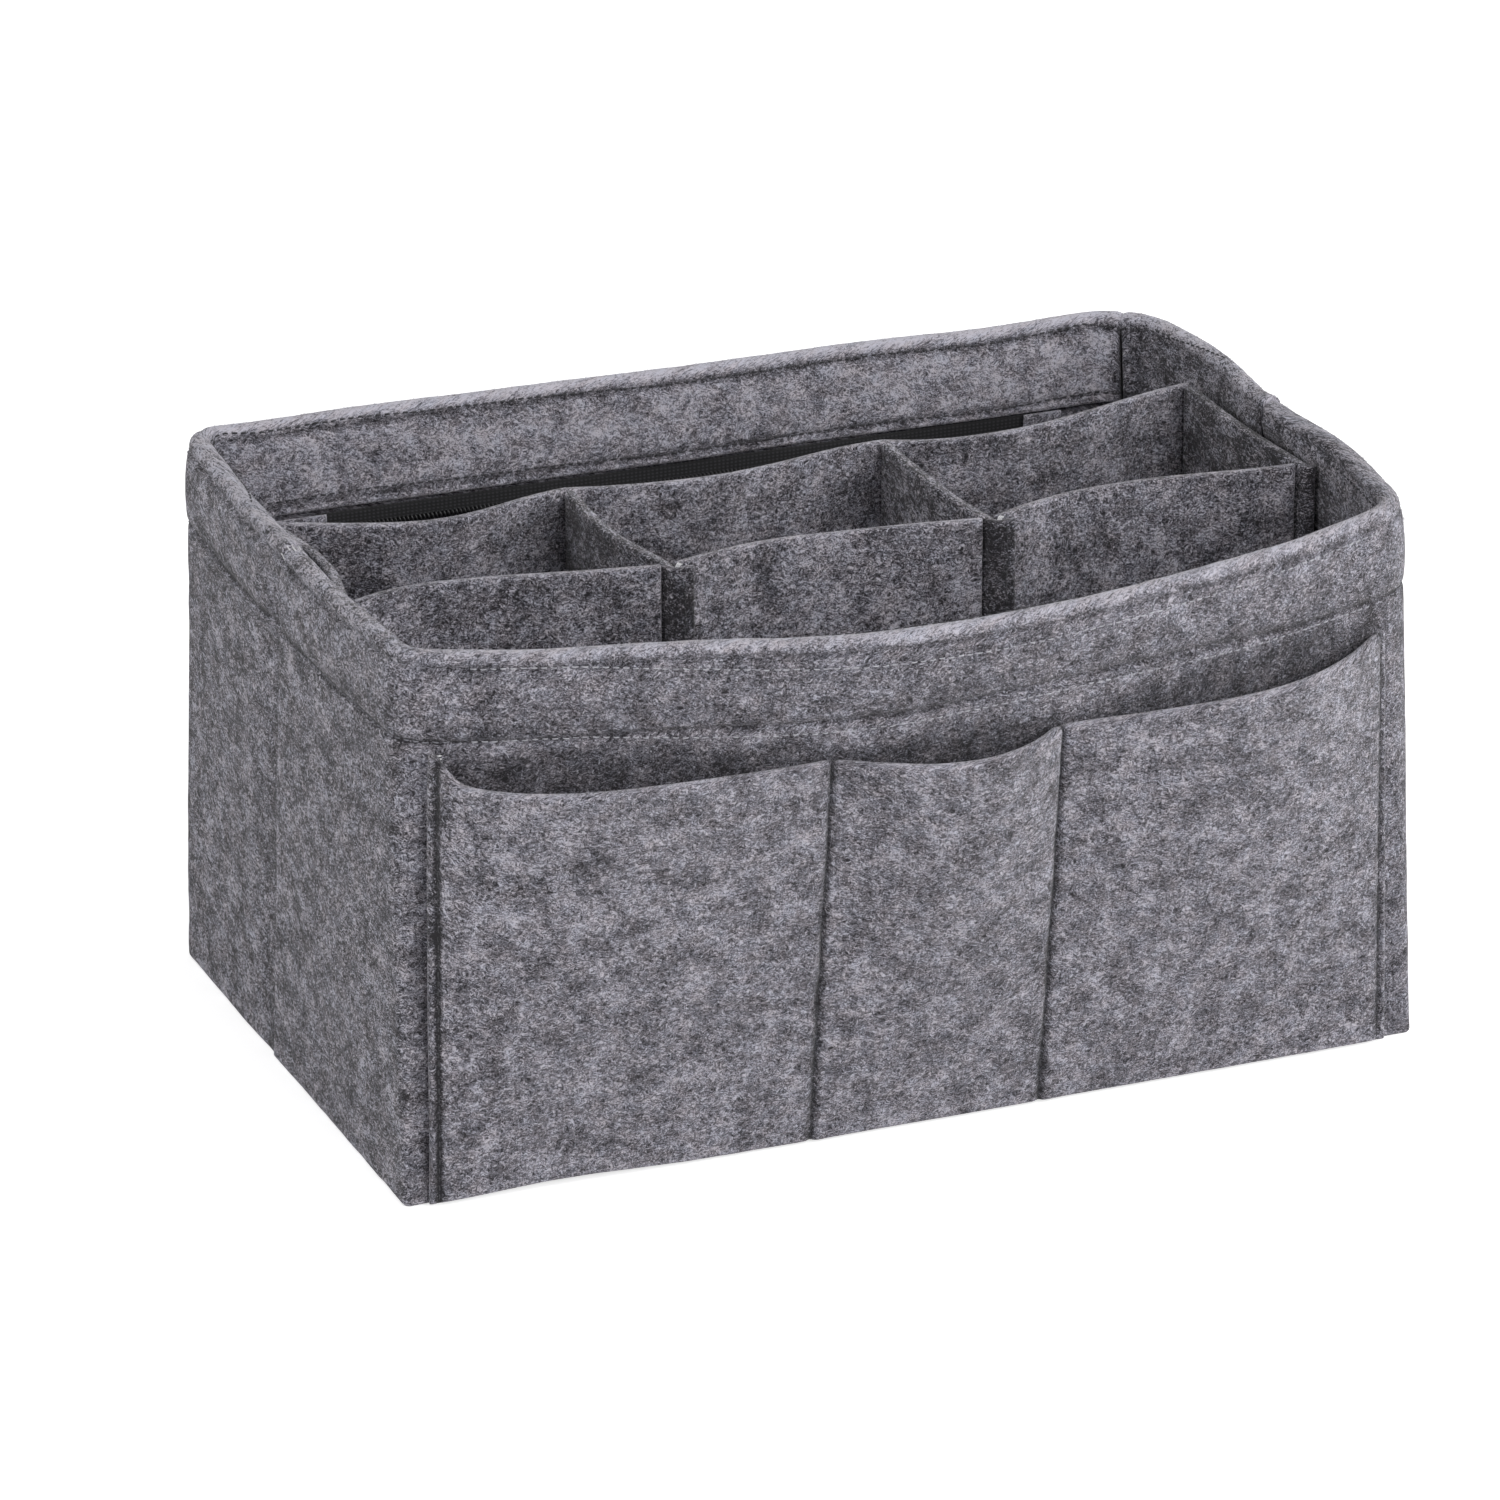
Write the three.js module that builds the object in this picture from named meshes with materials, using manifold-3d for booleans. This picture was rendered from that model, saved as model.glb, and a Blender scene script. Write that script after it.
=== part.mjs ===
// Felt purse organizer insert: an open felt box with a folded rim, three pockets sewn on the
// front, a flat zipped pocket on the inside of the rear wall, and a lift-out divider of three
// cells. Millimetres, +Z up. The origin is the centre of the underside. +X runs along the long
// side and -Y is the side with the three pockets.
import * as THREE from 'three';
import { mergeVertices } from 'three/addons/utils/BufferGeometryUtils.js';
import Module from 'manifold-3d';

const wasm = await Module();
wasm.setup();

// The box
const baseLength = 280;
const baseDepth = 170;
const wallHeight = 150;
const felt = 3;
const seamGap = 0.3;
const baseCorner = 4;
const footGap = 0.3;

// The rim, as the felt stands in use: corners open out and the walls lean outwards
const frontLeftRimCorner = 9;
const frontRightRimCorner = 12;
const rearRightRimCorner = 20;
const rearLeftRimCorner = 10;
const frontLeftRimShift = -1.5;
const frontRightRimShift = -3.5;
const rearRightRimShift = -1.5;
const rearLeftRimShift = 1.2;
const frontRimBow = 36;
const endRimBow = 2.6;
const rightRimLobe = 2.6;
const frontLean = 8;

// The rim is the wall's own felt, folded inwards and sewn down
const hemHeight = 26;
const slitWidth = 0.5;
const slitRightShare = 0.47;
const slitLeftShare = 0.25;

// The walls are two strips that lap near the middle of each end, the front one outside. The
// felt is pressed thin there, and the lap line leans towards the front as it rises
const lapWidth = 9;
const lapFade = 22;
const lapPressShare = 0.3;
const lapBaseShare = 0.59;
const lapLeftShare = 0.46;
const lapRightShare = 0.515;

// The front pockets
const pocketHeight = 119;
const pocketFoot = 1;
const pocketLeftInset = 5.5;
const pocketRightInset = 8;
const pocketSeamShares = [-0.207, 0.243];
const leftPocketBulge = 15.5;
const middlePocketBulge = 12;
const rightPocketBulge = 12;
const pocketPeakShares = [0.35, 0.55, 0.6];

// The zipped pocket on the rear wall
const zipLining = 2;
const zipLiningLeftInset = 20;
const zipLiningRightInset = 28;
const zipLiningFoot = 6;
const zipLiningDrop = 0.4;
const zipMouthHalf = 4.8;
const zipLeftInset = 39;
const zipRightInset = 39.5;
const zipDrop = 6.8;
const tapeThickness = 0.6;
const tapeUpper = 5.6;
const tapeLower = 13;
const coilWidth = 2.2;
const coilDepth = 1.5;
const chainGap = 1.2;
const stopLength = 3;

// The slider and its pull
const sliderFromEnd = 42.5;
const sliderLength = 11;
const sliderHalfWidth = 4.1;
const sliderPlate = 1;
const sliderPost = 0.6;
const bailSpan = 2.6;
const bailRise = 2.4;
const bailWire = 1;
const bailWidth = 1.2;
const pullLength = 24;
const pullWidth = 6;
const pullThickness = 1.2;
const pullEyeLength = 5;
const pullEyeWidth = 2;

// The lift-out divider. Its end walls keep a distance from the shell's ends, and its other
// joints stand at shares of half the base's length and depth
const dividerHeight = 139;
const rearLeftInset = 6.6;
const frontLeftInset = 6.8;
const rearRightInset = 10.1;
const frontRightInset = 10.2;
const rearWebShares = [-0.378, 0.267];
const frontWebShares = [-0.351, 0.286];
const rearDepthShares = [0.359, 0.318, 0.335, 0.453];
const frontDepthShares = [-0.336, -0.407, -0.407, -0.348];
const rearLeftSag = 11.5;
const rearMiddleSag = 7.5;
const rearRightSag = 9.5;
const rearPeakShares = [0.52, 0.42, 0.38];
const frontLeftSag = 6.5;
const frontMiddleSag = 6;
const frontRightSag = 7.5;
const frontPeakShares = [0.35, 0.4, 0.38];
const leftEndBow = 3;
const leftWebBow = -3;
const rightWebBow = -2;
const flangeLength = 8;
const rightEndFlange = 2.5;
const footBowShare = 0.4;
const jointGap = 0.6;
const endJointGap = 1.1;

// Shares that shape the curves, and counts that set how fine the facets are
const cornerShare = 0.2;
const handleShare = 0.39;
const bulgePowerShare = 1.3;
const sagPowerShare = 1.4;
const straightSteps = 12;
const cornerSteps = 6;
const foldSteps = 6;
const lapSteps = 4;
const panelSteps = 12;
const stretchSteps = 10;
const baseSteps = 20;
const heightSteps = 5;

const fold = 2 * felt + seamGap;
const foldRadius = fold / 2;
const hemEdge = wallHeight - hemHeight;

const lerp = (a, b, share) => a + (b - a) * share;
const smooth = (share) => THREE.MathUtils.smoothstep(share, 0, 1);
const range = (count) => Array.from({ length: count + 1 }, (_, i) => i / count);

// Sides of the box in plan, counter-clockwise: front, right end, rear, left end
const FRONT = 0;
const RIGHT = 1;
const REAR = 2;
const LEFT = 3;
const signX = [-1, 1, 1, -1];
const signY = [-1, -1, 1, 1];
const rimCornerList = [
  frontLeftRimCorner,
  frontRightRimCorner,
  rearRightRimCorner,
  rearLeftRimCorner,
];
const rimShiftList = [
  frontLeftRimShift,
  frontRightRimShift,
  rearRightRimShift,
  rearLeftRimShift,
];
const rimBows = [frontRimBow, endRimBow, 0, endRimBow];

// On the right end each strip bulges by itself, on either side of the lap
const rimLobes = [0, rightRimLobe, 0, 0];

function planCorner(index, h) {
  const x = signX[index] * baseLength / 2 + rimShiftList[index] * h;
  return new THREE.Vector2(x, signY[index] * baseDepth / 2);
}

const cornerCut = (index, h) => lerp(baseCorner, rimCornerList[index], h);

// A point of one side's outer face, at a share of its length and a height share h
function sidePoint(side, share, h) {
  const start = planCorner(side, h);
  const end = planCorner((side + 1) % 4, h);
  const run = end.clone().sub(start);
  const outward = new THREE.Vector2(run.y, -run.x).normalize();
  const arch = 4 * share * (1 - share) * h;
  const lobe = Math.sin(2 * Math.PI * share) ** 2 * h;
  const bow = rimBows[side] * arch + rimLobes[side] * lobe;
  const point = start.lerp(end, share).addScaledVector(outward, bow);
  if (side === FRONT) point.x -= frontLean * arch;
  return point;
}

function sideCuts(side, h) {
  const length = planCorner(side, h).distanceTo(planCorner((side + 1) % 4, h));
  const next = (side + 1) % 4;
  return [cornerCut(side, h) / length, 1 - cornerCut(next, h) / length];
}

// A point of the rounded corner that follows a side
function cornerPoint(side, share, h) {
  const next = (side + 1) % 4;
  const cutEnd = sideCuts(side, h)[1];
  const cutStart = sideCuts(next, h)[0];
  const a = sidePoint(side, cutEnd, h);
  const b = sidePoint(next, cutStart, h);
  const reach = a.distanceTo(b) * handleShare;
  const nudge = 0.001;
  const out = a.clone().sub(sidePoint(side, cutEnd - nudge, h)).setLength(reach);
  const back = b.clone().sub(sidePoint(next, cutStart + nudge, h)).setLength(reach);
  const curve = new THREE.CubicBezierCurve(a, a.clone().add(out), b.clone().add(back), b);
  return curve.getPoint(share);
}

// The outer face in plan: the whole part of s is the side, and its last share is the corner
function planPoint(s, h) {
  const turn = THREE.MathUtils.euclideanModulo(s, 4);
  const side = Math.floor(turn);
  const along = (turn - side) / (1 - cornerShare);
  if (along > 1) return cornerPoint(side, (turn - side - 1 + cornerShare) / cornerShare, h);
  const cuts = sideCuts(side, h);
  return sidePoint(side, lerp(cuts[0], cuts[1], along), h);
}

// A point at a depth inwards from the outer face, at a height z
function wallPoint(s, depth, z) {
  const h = z / wallHeight;
  const nudge = 0.002;
  const run = planPoint(s + nudge, h).sub(planPoint(s - nudge, h)).normalize();
  const point = planPoint(s, h).add(new THREE.Vector2(-run.y, run.x).multiplyScalar(depth));
  return new THREE.Vector3(point.x, point.y, z);
}

// The s of a place along a side's straight stretch, where share runs from 0 to 1
const sideAt = (side, share) => side + share * (1 - cornerShare);

// The s of an x on the front or rear side at the base
function sideAtX(side, x) {
  const start = planCorner(side, 0).x;
  const end = planCorner((side + 1) % 4, 0).x;
  const cuts = sideCuts(side, 0);
  return sideAt(side, ((x - start) / (end - start) - cuts[0]) / (cuts[1] - cuts[0]));
}

// Joins rings of points into one closed solid. Each ring goes out along one face and comes
// back along the other with as many points, so that a ladder between the faces caps the ends
function loftSolid(rings) {
  const count = rings[0].length;
  const positions = rings.flat().flatMap((point) => point.toArray());
  const last = (rings.length - 1) * count;
  const faces = [];
  for (let ring = 0; ring < rings.length - 1; ring += 1) {
    for (let i = 0; i < count; i += 1) {
      const a = ring * count + i;
      const b = ring * count + (i + 1) % count;
      faces.push([a, b, b + count], [a, b + count, a + count]);
    }
  }
  for (let i = 0; i < count / 2 - 1; i += 1) {
    const far = count - 1 - i;
    faces.push([i, far, i + 1], [i + 1, far, far - 1]);
    faces.push([last + i, last + i + 1, last + far], [last + i + 1, last + far - 1, last + far]);
  }
  const geometry = new THREE.BufferGeometry();
  geometry.setAttribute('position', new THREE.Float32BufferAttribute(positions, 3));
  geometry.setIndex(faces.flat());
  return faceOutwards(geometry);
}

function faceOutwards(geometry) {
  const position = geometry.getAttribute('position');
  const index = geometry.getIndex();
  const corner = (i) => new THREE.Vector3().fromBufferAttribute(position, index.getX(i));
  let volume = 0;
  for (let i = 0; i < index.count; i += 3) {
    volume += corner(i).dot(corner(i + 1).cross(corner(i + 2)));
  }
  if (volume < 0) {
    for (let i = 0; i < index.count; i += 3) {
      const held = index.getX(i + 1);
      index.setX(i + 1, index.getX(i + 2));
      index.setX(i + 2, held);
    }
  }
  return geometry;
}

function toManifold(geometry) {
  const bare = geometry.clone();
  bare.deleteAttribute('normal');
  bare.deleteAttribute('uv');
  const merged = mergeVertices(bare);
  const vertProperties = new Float32Array(merged.getAttribute('position').array);
  const triVerts = new Uint32Array(merged.getIndex().array);
  return new wasm.Manifold(new wasm.Mesh({ numProp: 3, vertProperties, triVerts }));
}

function fromManifold(solid) {
  const mesh = solid.getMesh();
  const geometry = new THREE.BufferGeometry();
  geometry.setAttribute('position', new THREE.BufferAttribute(mesh.vertProperties, 3));
  geometry.setIndex(new THREE.BufferAttribute(mesh.triVerts, 1));
  return geometry;
}

const cut = (body, tools) => fromManifold(
  tools.reduce((rest, tool) => rest.subtract(toManifold(tool)), toManifold(body)),
);
const join = (bodies) => fromManifold(
  bodies.map(toManifold).reduce((whole, body) => whole.add(body)),
);

// A box given by its lowest and highest corners
function boxBetween(low, high) {
  const size = high.map((value, i) => value - low[i]);
  const centre = high.map((value, i) => (value + low[i]) / 2);
  return new THREE.BoxGeometry(...size).translate(...centre);
}

// The hooked section of a wall: one thickness of felt, folded inwards over the rim. It goes
// out along the felt's outer face and comes back along its inner face
function hemmedSection() {
  const rise = range(heightSteps).map((share) => share * hemEdge);
  const foldBase = wallHeight - foldRadius;
  const face = (straightDepth, radius) => {
    const points = rise.map((z) => new THREE.Vector2(straightDepth, z));
    for (const share of range(foldSteps)) {
      const turn = Math.PI * (1 - share);
      const depth = foldRadius + radius * Math.cos(turn);
      points.push(new THREE.Vector2(depth, foldBase + radius * Math.sin(turn)));
    }
    points.push(new THREE.Vector2(foldRadius + radius, hemEdge));
    return points;
  };
  return [...face(0, foldRadius), ...face(felt, seamGap / 2).reverse()];
}

// How far the rear strip is tucked in where it lies behind the front one
const lapTuck = felt * (1 - lapPressShare) + seamGap;

// Where the front strip ends on each end wall, as a share of the end counted from the front
const lapShareAt = (side, z) => {
  const rimShare = side === RIGHT ? lapRightShare : lapLeftShare;
  return lerp(lapBaseShare, rimShare, z / wallHeight);
};
const lapFadeAt = (distance) => 1 - smooth((distance - lapWidth) / lapFade);
const endAt = (side, share) => sideAt(side, side === RIGHT ? share : 1 - share);

// Stations of a strip of wall: from its right-hand lap or its left-hand lap round to the other
function lapStations(side, fromFront) {
  const distances = [0, lapWidth / 2, lapWidth];
  for (const share of range(lapSteps).slice(1)) distances.push(lapWidth + lapFade * share);
  distances.push(lerp(lapWidth + lapFade, baseDepth / 2, 0.5));
  return distances.map((distance) => ({
    spread: lapFadeAt(distance),
    at: (z) => {
      const reach = distance / baseDepth;
      const lap = lapShareAt(side, z);
      const share = fromFront ? lap - reach : lap - lapWidth / baseDepth + reach;
      return endAt(side, share);
    },
  }));
}

const fixedStation = (s) => ({ spread: 0, at: () => s });

function cornerStations(side) {
  return range(cornerSteps).map((share) => fixedStation(side + 1 - cornerShare * (1 - share)));
}

function straightStations(side) {
  return range(straightSteps).slice(1, -1).map((share) => fixedStation(sideAt(side, share)));
}

// A wall strip swept along its stations, pressed thin and tucked in where it laps
function wallStrip(stations, tuck) {
  const section = hemmedSection();
  const rings = stations.map(({ spread, at }) => section.map((point) => {
    const depth = point.x * (1 - lapPressShare * spread) + tuck * spread;
    return wallPoint(at(point.y), depth, point.y);
  }));
  return loftSolid(rings);
}

function frontWall() {
  const stations = [
    ...lapStations(LEFT, true),
    ...cornerStations(LEFT),
    ...straightStations(FRONT),
    ...cornerStations(FRONT),
    ...lapStations(RIGHT, true).reverse(),
  ];
  return wallStrip(stations, 0);
}

function rearWall() {
  const stations = [
    ...lapStations(RIGHT, false),
    ...cornerStations(RIGHT),
    ...straightStations(REAR),
    ...cornerStations(REAR),
    ...lapStations(LEFT, false).reverse(),
  ];
  const slits = [hemSlit(RIGHT, slitRightShare), hemSlit(REAR, slitLeftShare)];
  const notches = [RIGHT, LEFT].map(rimNotch);
  return cut(wallStrip(stations, lapTuck), [...slits, ...notches]);
}

// The rear strip's rim stops at the lap line, so that only its flat tongue runs on inside the
// front strip, below that strip's hem
function rimNotch(side) {
  const lapPoint = (z) => wallPoint(endAt(side, lapShareAt(side, z)), lapTuck, z);
  const low = lapPoint(hemEdge - seamGap);
  const high = lapPoint(wallHeight);
  const lean = Math.atan2(low.y - high.y, high.z - low.z);
  const box = new THREE.BoxGeometry(4 * fold, 2 * lapWidth, 2 * hemHeight);
  box.translate(0, -lapWidth, hemHeight).rotateX(lean);
  return box.translate(low.x, low.y + seamGap, low.z);
}

// A slit through the turned-in layer of the hem, at a share of the corner that follows a side
function hemSlit(side, share) {
  const middle = (hemEdge + wallHeight) / 2;
  const s = side + 1 - cornerShare * (1 - share);
  const outer = wallPoint(s, felt + seamGap / 2, middle);
  const inner = wallPoint(s, fold + seamGap, middle);
  const length = outer.distanceTo(inner);
  const box = new THREE.BoxGeometry(slitWidth, length, hemHeight - felt + seamGap);
  const turn = Math.atan2(inner.y - outer.y, inner.x - outer.x) - Math.PI / 2;
  const centre = outer.lerp(inner, 0.5);
  return box.rotateZ(turn).translate(centre.x, centre.y, middle - felt);
}

// The base panel fits inside the walls, and gives way where the rear strip's ends tuck in
function basePanel() {
  const tuck = lapTuck - lapPressShare * felt;
  const points = [];
  for (const side of [FRONT, RIGHT, REAR, LEFT]) {
    for (const share of range(baseSteps).slice(0, -1)) {
      const fromFront = side === RIGHT ? share : 1 - share;
      const away = Math.abs(fromFront - lapBaseShare) * baseDepth;
      const isEnd = side === RIGHT || side === LEFT;
      const extra = isEnd ? tuck * lapFadeAt(away - lapWidth) : 0;
      const point = wallPoint(sideAt(side, share), felt + seamGap + extra, 0);
      points.push(new THREE.Vector2(point.x, point.y));
    }
    for (const share of range(cornerSteps).slice(0, -1)) {
      const s = side + 1 - cornerShare * (1 - share);
      const point = wallPoint(s, felt + seamGap, 0);
      points.push(new THREE.Vector2(point.x, point.y));
    }
  }
  const options = { depth: felt, bevelEnabled: false };
  return new THREE.ExtrudeGeometry(new THREE.Shape(points), options);
}

// An arch that is 0 at both ends and 1 at its peak share
function archAt(share, peakShare) {
  const power = Math.log(0.5) / Math.log(peakShare);
  return Math.sin(Math.PI * share ** power);
}

// The panel's edges and seams from left to right
const pocketEdges = [
  pocketLeftInset - baseLength / 2,
  ...pocketSeamShares.map((share) => share * baseLength / 2),
  baseLength / 2 - pocketRightInset,
];
const pocketBulges = [leftPocketBulge, middlePocketBulge, rightPocketBulge];

// How far the pocket panel stands off the front wall, between its seams
function pocketBulge(x, z) {
  const pocket = Math.max(0, pocketEdges.findIndex((edge) => edge >= x - seamGap) - 1);
  const [start, end] = pocketEdges.slice(pocket, pocket + 2);
  const share = (x - start) / (end - start);
  const arch = archAt(THREE.MathUtils.clamp(share, 0, 1), pocketPeakShares[pocket]);
  const rise = THREE.MathUtils.clamp(z / pocketHeight, 0, 1) ** bulgePowerShare;
  return pocketBulges[pocket] * arch * rise;
}

// The mouth of the pockets stays at one felt height, so it drops where the wall leans most
function pocketTop(x) {
  const share = (x + baseLength / 2) / baseLength;
  const slope = 4 * share * (1 - share) * frontRimBow / wallHeight;
  return pocketHeight / Math.hypot(1, slope);
}

function frontPocketPanel() {
  const xs = [pocketEdges[0]];
  for (let pocket = 0; pocket < pocketEdges.length - 1; pocket += 1) {
    for (const share of range(panelSteps).slice(1)) {
      xs.push(lerp(pocketEdges[pocket], pocketEdges[pocket + 1], share));
    }
  }
  const heights = range(heightSteps + 1);
  const outline = [
    ...heights.map((share) => new THREE.Vector2(0, share)),
    ...heights.map((share) => new THREE.Vector2(1, share)).reverse(),
  ];
  const rings = xs.map((x) => outline.map(({ x: face, y: share }) => {
    const z = lerp(pocketFoot, pocketTop(x), share);
    const depth = seamGap + felt * face + pocketBulge(x, z);
    return wallPoint(sideAtX(FRONT, x), -depth, z);
  }));
  return loftSolid(rings);
}

// The zipped pocket hangs below the hem's cut edge
const zipHeight = hemEdge - zipDrop;
const zipStart = zipLeftInset - baseLength / 2;
const zipEnd = baseLength / 2 - zipRightInset;
const sliderPlace = zipEnd - sliderFromEnd;

// Its layers, counted forwards from the rear wall's inner face
const rearInner = baseDepth / 2 - felt;
const sliderRear = rearInner - seamGap;
const tapeRear = sliderRear - sliderPlate - seamGap;
const tapeFront = tapeRear - tapeThickness;
const coilRear = tapeFront - seamGap;
const coilFront = coilRear - coilDepth;
const liningRear = tapeFront - seamGap;
const sliderFace = coilFront - seamGap;
const sliderFront = sliderFace - sliderPlate;
const pullAxisY = sliderFront - bailRise / 2;

// A flat sheet parallel to the rear wall, from an outline in X and Z
function rearSheet(outline, rear, thickness) {
  const options = { depth: thickness, bevelEnabled: false };
  const sheet = new THREE.ExtrudeGeometry(outline, options);
  return sheet.rotateX(Math.PI / 2).translate(0, rear, 0);
}

function rectangle(left, right, low, high) {
  return new THREE.Shape([
    new THREE.Vector2(left, low),
    new THREE.Vector2(right, low),
    new THREE.Vector2(right, high),
    new THREE.Vector2(left, high),
  ]);
}

function zipPocketPanel() {
  const outline = rectangle(
    zipLiningLeftInset - baseLength / 2,
    baseLength / 2 - zipLiningRightInset,
    zipLiningFoot,
    hemEdge - zipLiningDrop,
  );
  const mouth = rectangle(
    zipStart - seamGap,
    zipEnd + seamGap,
    zipHeight - zipMouthHalf,
    zipHeight + zipMouthHalf,
  );
  outline.holes.push(new THREE.Path(mouth.getPoints().reverse()));
  return rearSheet(outline, liningRear, zipLining);
}

// Tapes and coils lie above and below the slider's post, with direction 1 or -1
function zipTape(direction, width) {
  const near = zipHeight + direction * chainGap / 2;
  const far = near + direction * width;
  const outline = rectangle(
    zipStart - stopLength,
    zipEnd + stopLength,
    Math.min(near, far),
    Math.max(near, far),
  );
  return rearSheet(outline, tapeRear, tapeThickness);
}

function zipCoil(direction) {
  const near = zipHeight + direction * chainGap / 2;
  const section = new THREE.Shape();
  section.absellipse(0, 0, coilDepth, coilWidth / 2, -Math.PI / 2, Math.PI / 2);
  const length = zipEnd - zipStart - 2 * (stopLength + seamGap);
  const options = { depth: length, bevelEnabled: false, curveSegments: foldSteps };
  const bar = new THREE.ExtrudeGeometry(section, options);
  bar.rotateX(Math.PI / 2).rotateZ(-Math.PI / 2);
  const end = zipEnd - stopLength - seamGap;
  return bar.translate(end, coilRear, near + direction * coilWidth / 2);
}

// A stop is a clip across the end of the chain
function zipStop(left) {
  const half = chainGap / 2 + coilWidth;
  const low = [left, coilFront, zipHeight - half];
  const high = [left + stopLength, coilRear, zipHeight + half];
  return boxBetween(low, high);
}

// The slider: a front plate with side walls, a rear plate, the post that joins them between
// the two rows of the chain, and a bail for the pull
function zipSlider() {
  const half = sliderHalfWidth;
  const end = sliderLength / 2;
  const sideWall = half - chainGap / 2 - coilWidth - seamGap;
  const x = (share) => sliderPlace + share * end;
  const plate = boxBetween(
    [x(-1), sliderFront, zipHeight - half],
    [x(1), sliderFace, zipHeight + half],
  );
  const rear = boxBetween(
    [x(-1), tapeRear + seamGap, zipHeight - half],
    [x(1), sliderRear, zipHeight + half],
  );
  const post = boxBetween(
    [x(-1), sliderFace - sliderPlate / 2, zipHeight - sliderPost / 2],
    [x(0), sliderRear - sliderPlate / 2, zipHeight + sliderPost / 2],
  );
  const sides = [-1, 1].map((direction) => {
    const outer = zipHeight + direction * half;
    const inner = outer - direction * sideWall;
    return boxBetween(
      [x(-1), sliderFace - sliderPlate / 2, Math.min(inner, outer)],
      [x(1), coilRear - seamGap, Math.max(inner, outer)],
    );
  });
  return join([plate, rear, post, ...sides, sliderBail()]);
}

// The bail is an arch in plan, sunk a little into the front plate
function sliderBail() {
  const outer = bailSpan + bailWire;
  const sunk = sliderPlate / 2;
  const arch = new THREE.Shape();
  arch.moveTo(-outer, -sunk);
  arch.lineTo(outer, -sunk);
  arch.lineTo(outer, bailRise - bailWire);
  arch.quadraticCurveTo(outer, bailRise + bailWire, 0, bailRise + bailWire);
  arch.quadraticCurveTo(-outer, bailRise + bailWire, -outer, bailRise - bailWire);
  arch.closePath();
  const hole = new THREE.Path();
  hole.moveTo(-bailSpan, 0);
  hole.lineTo(-bailSpan, bailRise - bailWire);
  hole.quadraticCurveTo(-bailSpan, bailRise, 0, bailRise);
  hole.quadraticCurveTo(bailSpan, bailRise, bailSpan, bailRise - bailWire);
  hole.lineTo(bailSpan, 0);
  hole.closePath();
  arch.holes.push(hole);
  const options = { depth: bailWidth, bevelEnabled: false, curveSegments: foldSteps };
  const bail = new THREE.ExtrudeGeometry(arch, options);
  bail.rotateX(Math.PI);
  return bail.translate(sliderPlace, sliderFront, zipHeight + bailWidth / 2);
}

// The pull hangs on the bail by its eye and points along the chain
function zipPull() {
  const half = pullWidth / 2;
  const bar = pullThickness / 2;
  const tip = -pullLength;
  const tab = new THREE.Shape();
  tab.moveTo(bar, -half);
  tab.lineTo(bar, half);
  tab.lineTo(tip + half, half);
  tab.absarc(tip + half, 0, half, Math.PI / 2, 3 * Math.PI / 2);
  tab.closePath();
  const eye = rectangle(
    -bar - pullEyeLength,
    -bar,
    -pullEyeWidth / 2,
    pullEyeWidth / 2,
  );
  tab.holes.push(new THREE.Path(eye.getPoints().reverse()));
  const options = { depth: pullThickness, bevelEnabled: false, curveSegments: foldSteps };
  const plate = new THREE.ExtrudeGeometry(tab, options).rotateX(Math.PI / 2);
  return plate.translate(sliderPlace, pullAxisY + bar, zipHeight);
}

// The divider stands on the base panel. Its sheets follow a path in plan, with a bow that is
// full at the top and less at the foot
const dividerFoot = felt + footGap;

// Plan places from left to right of a row of joints
function jointRow(leftInset, webShares, rightInset, depthShares) {
  const half = baseLength / 2;
  const xs = [leftInset - half, ...webShares.map((share) => share * half), half - rightInset];
  return xs.map((x, i) => [x, depthShares[i] * baseDepth / 2]);
}

const dividerRear = jointRow(rearLeftInset, rearWebShares, rearRightInset, rearDepthShares);
const dividerFront = jointRow(
  frontLeftInset,
  frontWebShares,
  frontRightInset,
  frontDepthShares,
);
const rearSags = [-rearLeftSag, -rearMiddleSag, -rearRightSag];
const frontSags = [frontLeftSag, frontMiddleSag, frontRightSag];
const webBows = [leftEndBow, leftWebBow, rightWebBow, 0];
const flangeLengths = [0, flangeLength, flangeLength, rightEndFlange];

function sheetSolid(pathAt, steps) {
  const heights = range(heightSteps);
  const outline = [
    ...heights.map((share) => new THREE.Vector2(0, share)),
    ...heights.map((share) => new THREE.Vector2(1, share)).reverse(),
  ];
  const rings = steps.map((step) => outline.map(({ x: face, y: share }) => {
    const { point, normal } = pathAt(step, lerp(footBowShare, 1, share));
    const place = point.clone().addScaledVector(normal, (face - 0.5) * felt);
    return new THREE.Vector3(place.x, place.y, dividerFoot + share * dividerHeight);
  }));
  return loftSolid(rings);
}

// A path through bowed stretches between joints, with its normal on the left-hand side. It
// leaves each joint level, as felt does where it is sewn
function bowedPath(joints, sags, peakShares) {
  const placeAt = (step, bowShare) => {
    const stretch = Math.min(Math.floor(step), sags.length - 1);
    const share = step - stretch;
    const [start, end] = [joints[stretch], joints[stretch + 1]].map(([x, y]) => (
      new THREE.Vector2(x, y)
    ));
    const run = end.clone().sub(start).normalize();
    const arch = archAt(share, peakShares[stretch]) ** sagPowerShare;
    const bow = sags[stretch] * arch * bowShare;
    return start.lerp(end, share).add(new THREE.Vector2(-run.y, run.x).multiplyScalar(bow));
  };
  return (step, bowShare) => {
    const nudge = 0.01;
    const low = Math.max(step - nudge, 0);
    const high = Math.min(step + nudge, sags.length);
    const run = placeAt(high, bowShare).sub(placeAt(low, bowShare)).normalize();
    return {
      point: placeAt(step, bowShare),
      normal: new THREE.Vector2(-run.y, run.x),
    };
  };
}

const halfFelt = felt / 2;
const butt = halfFelt + jointGap;

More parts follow.
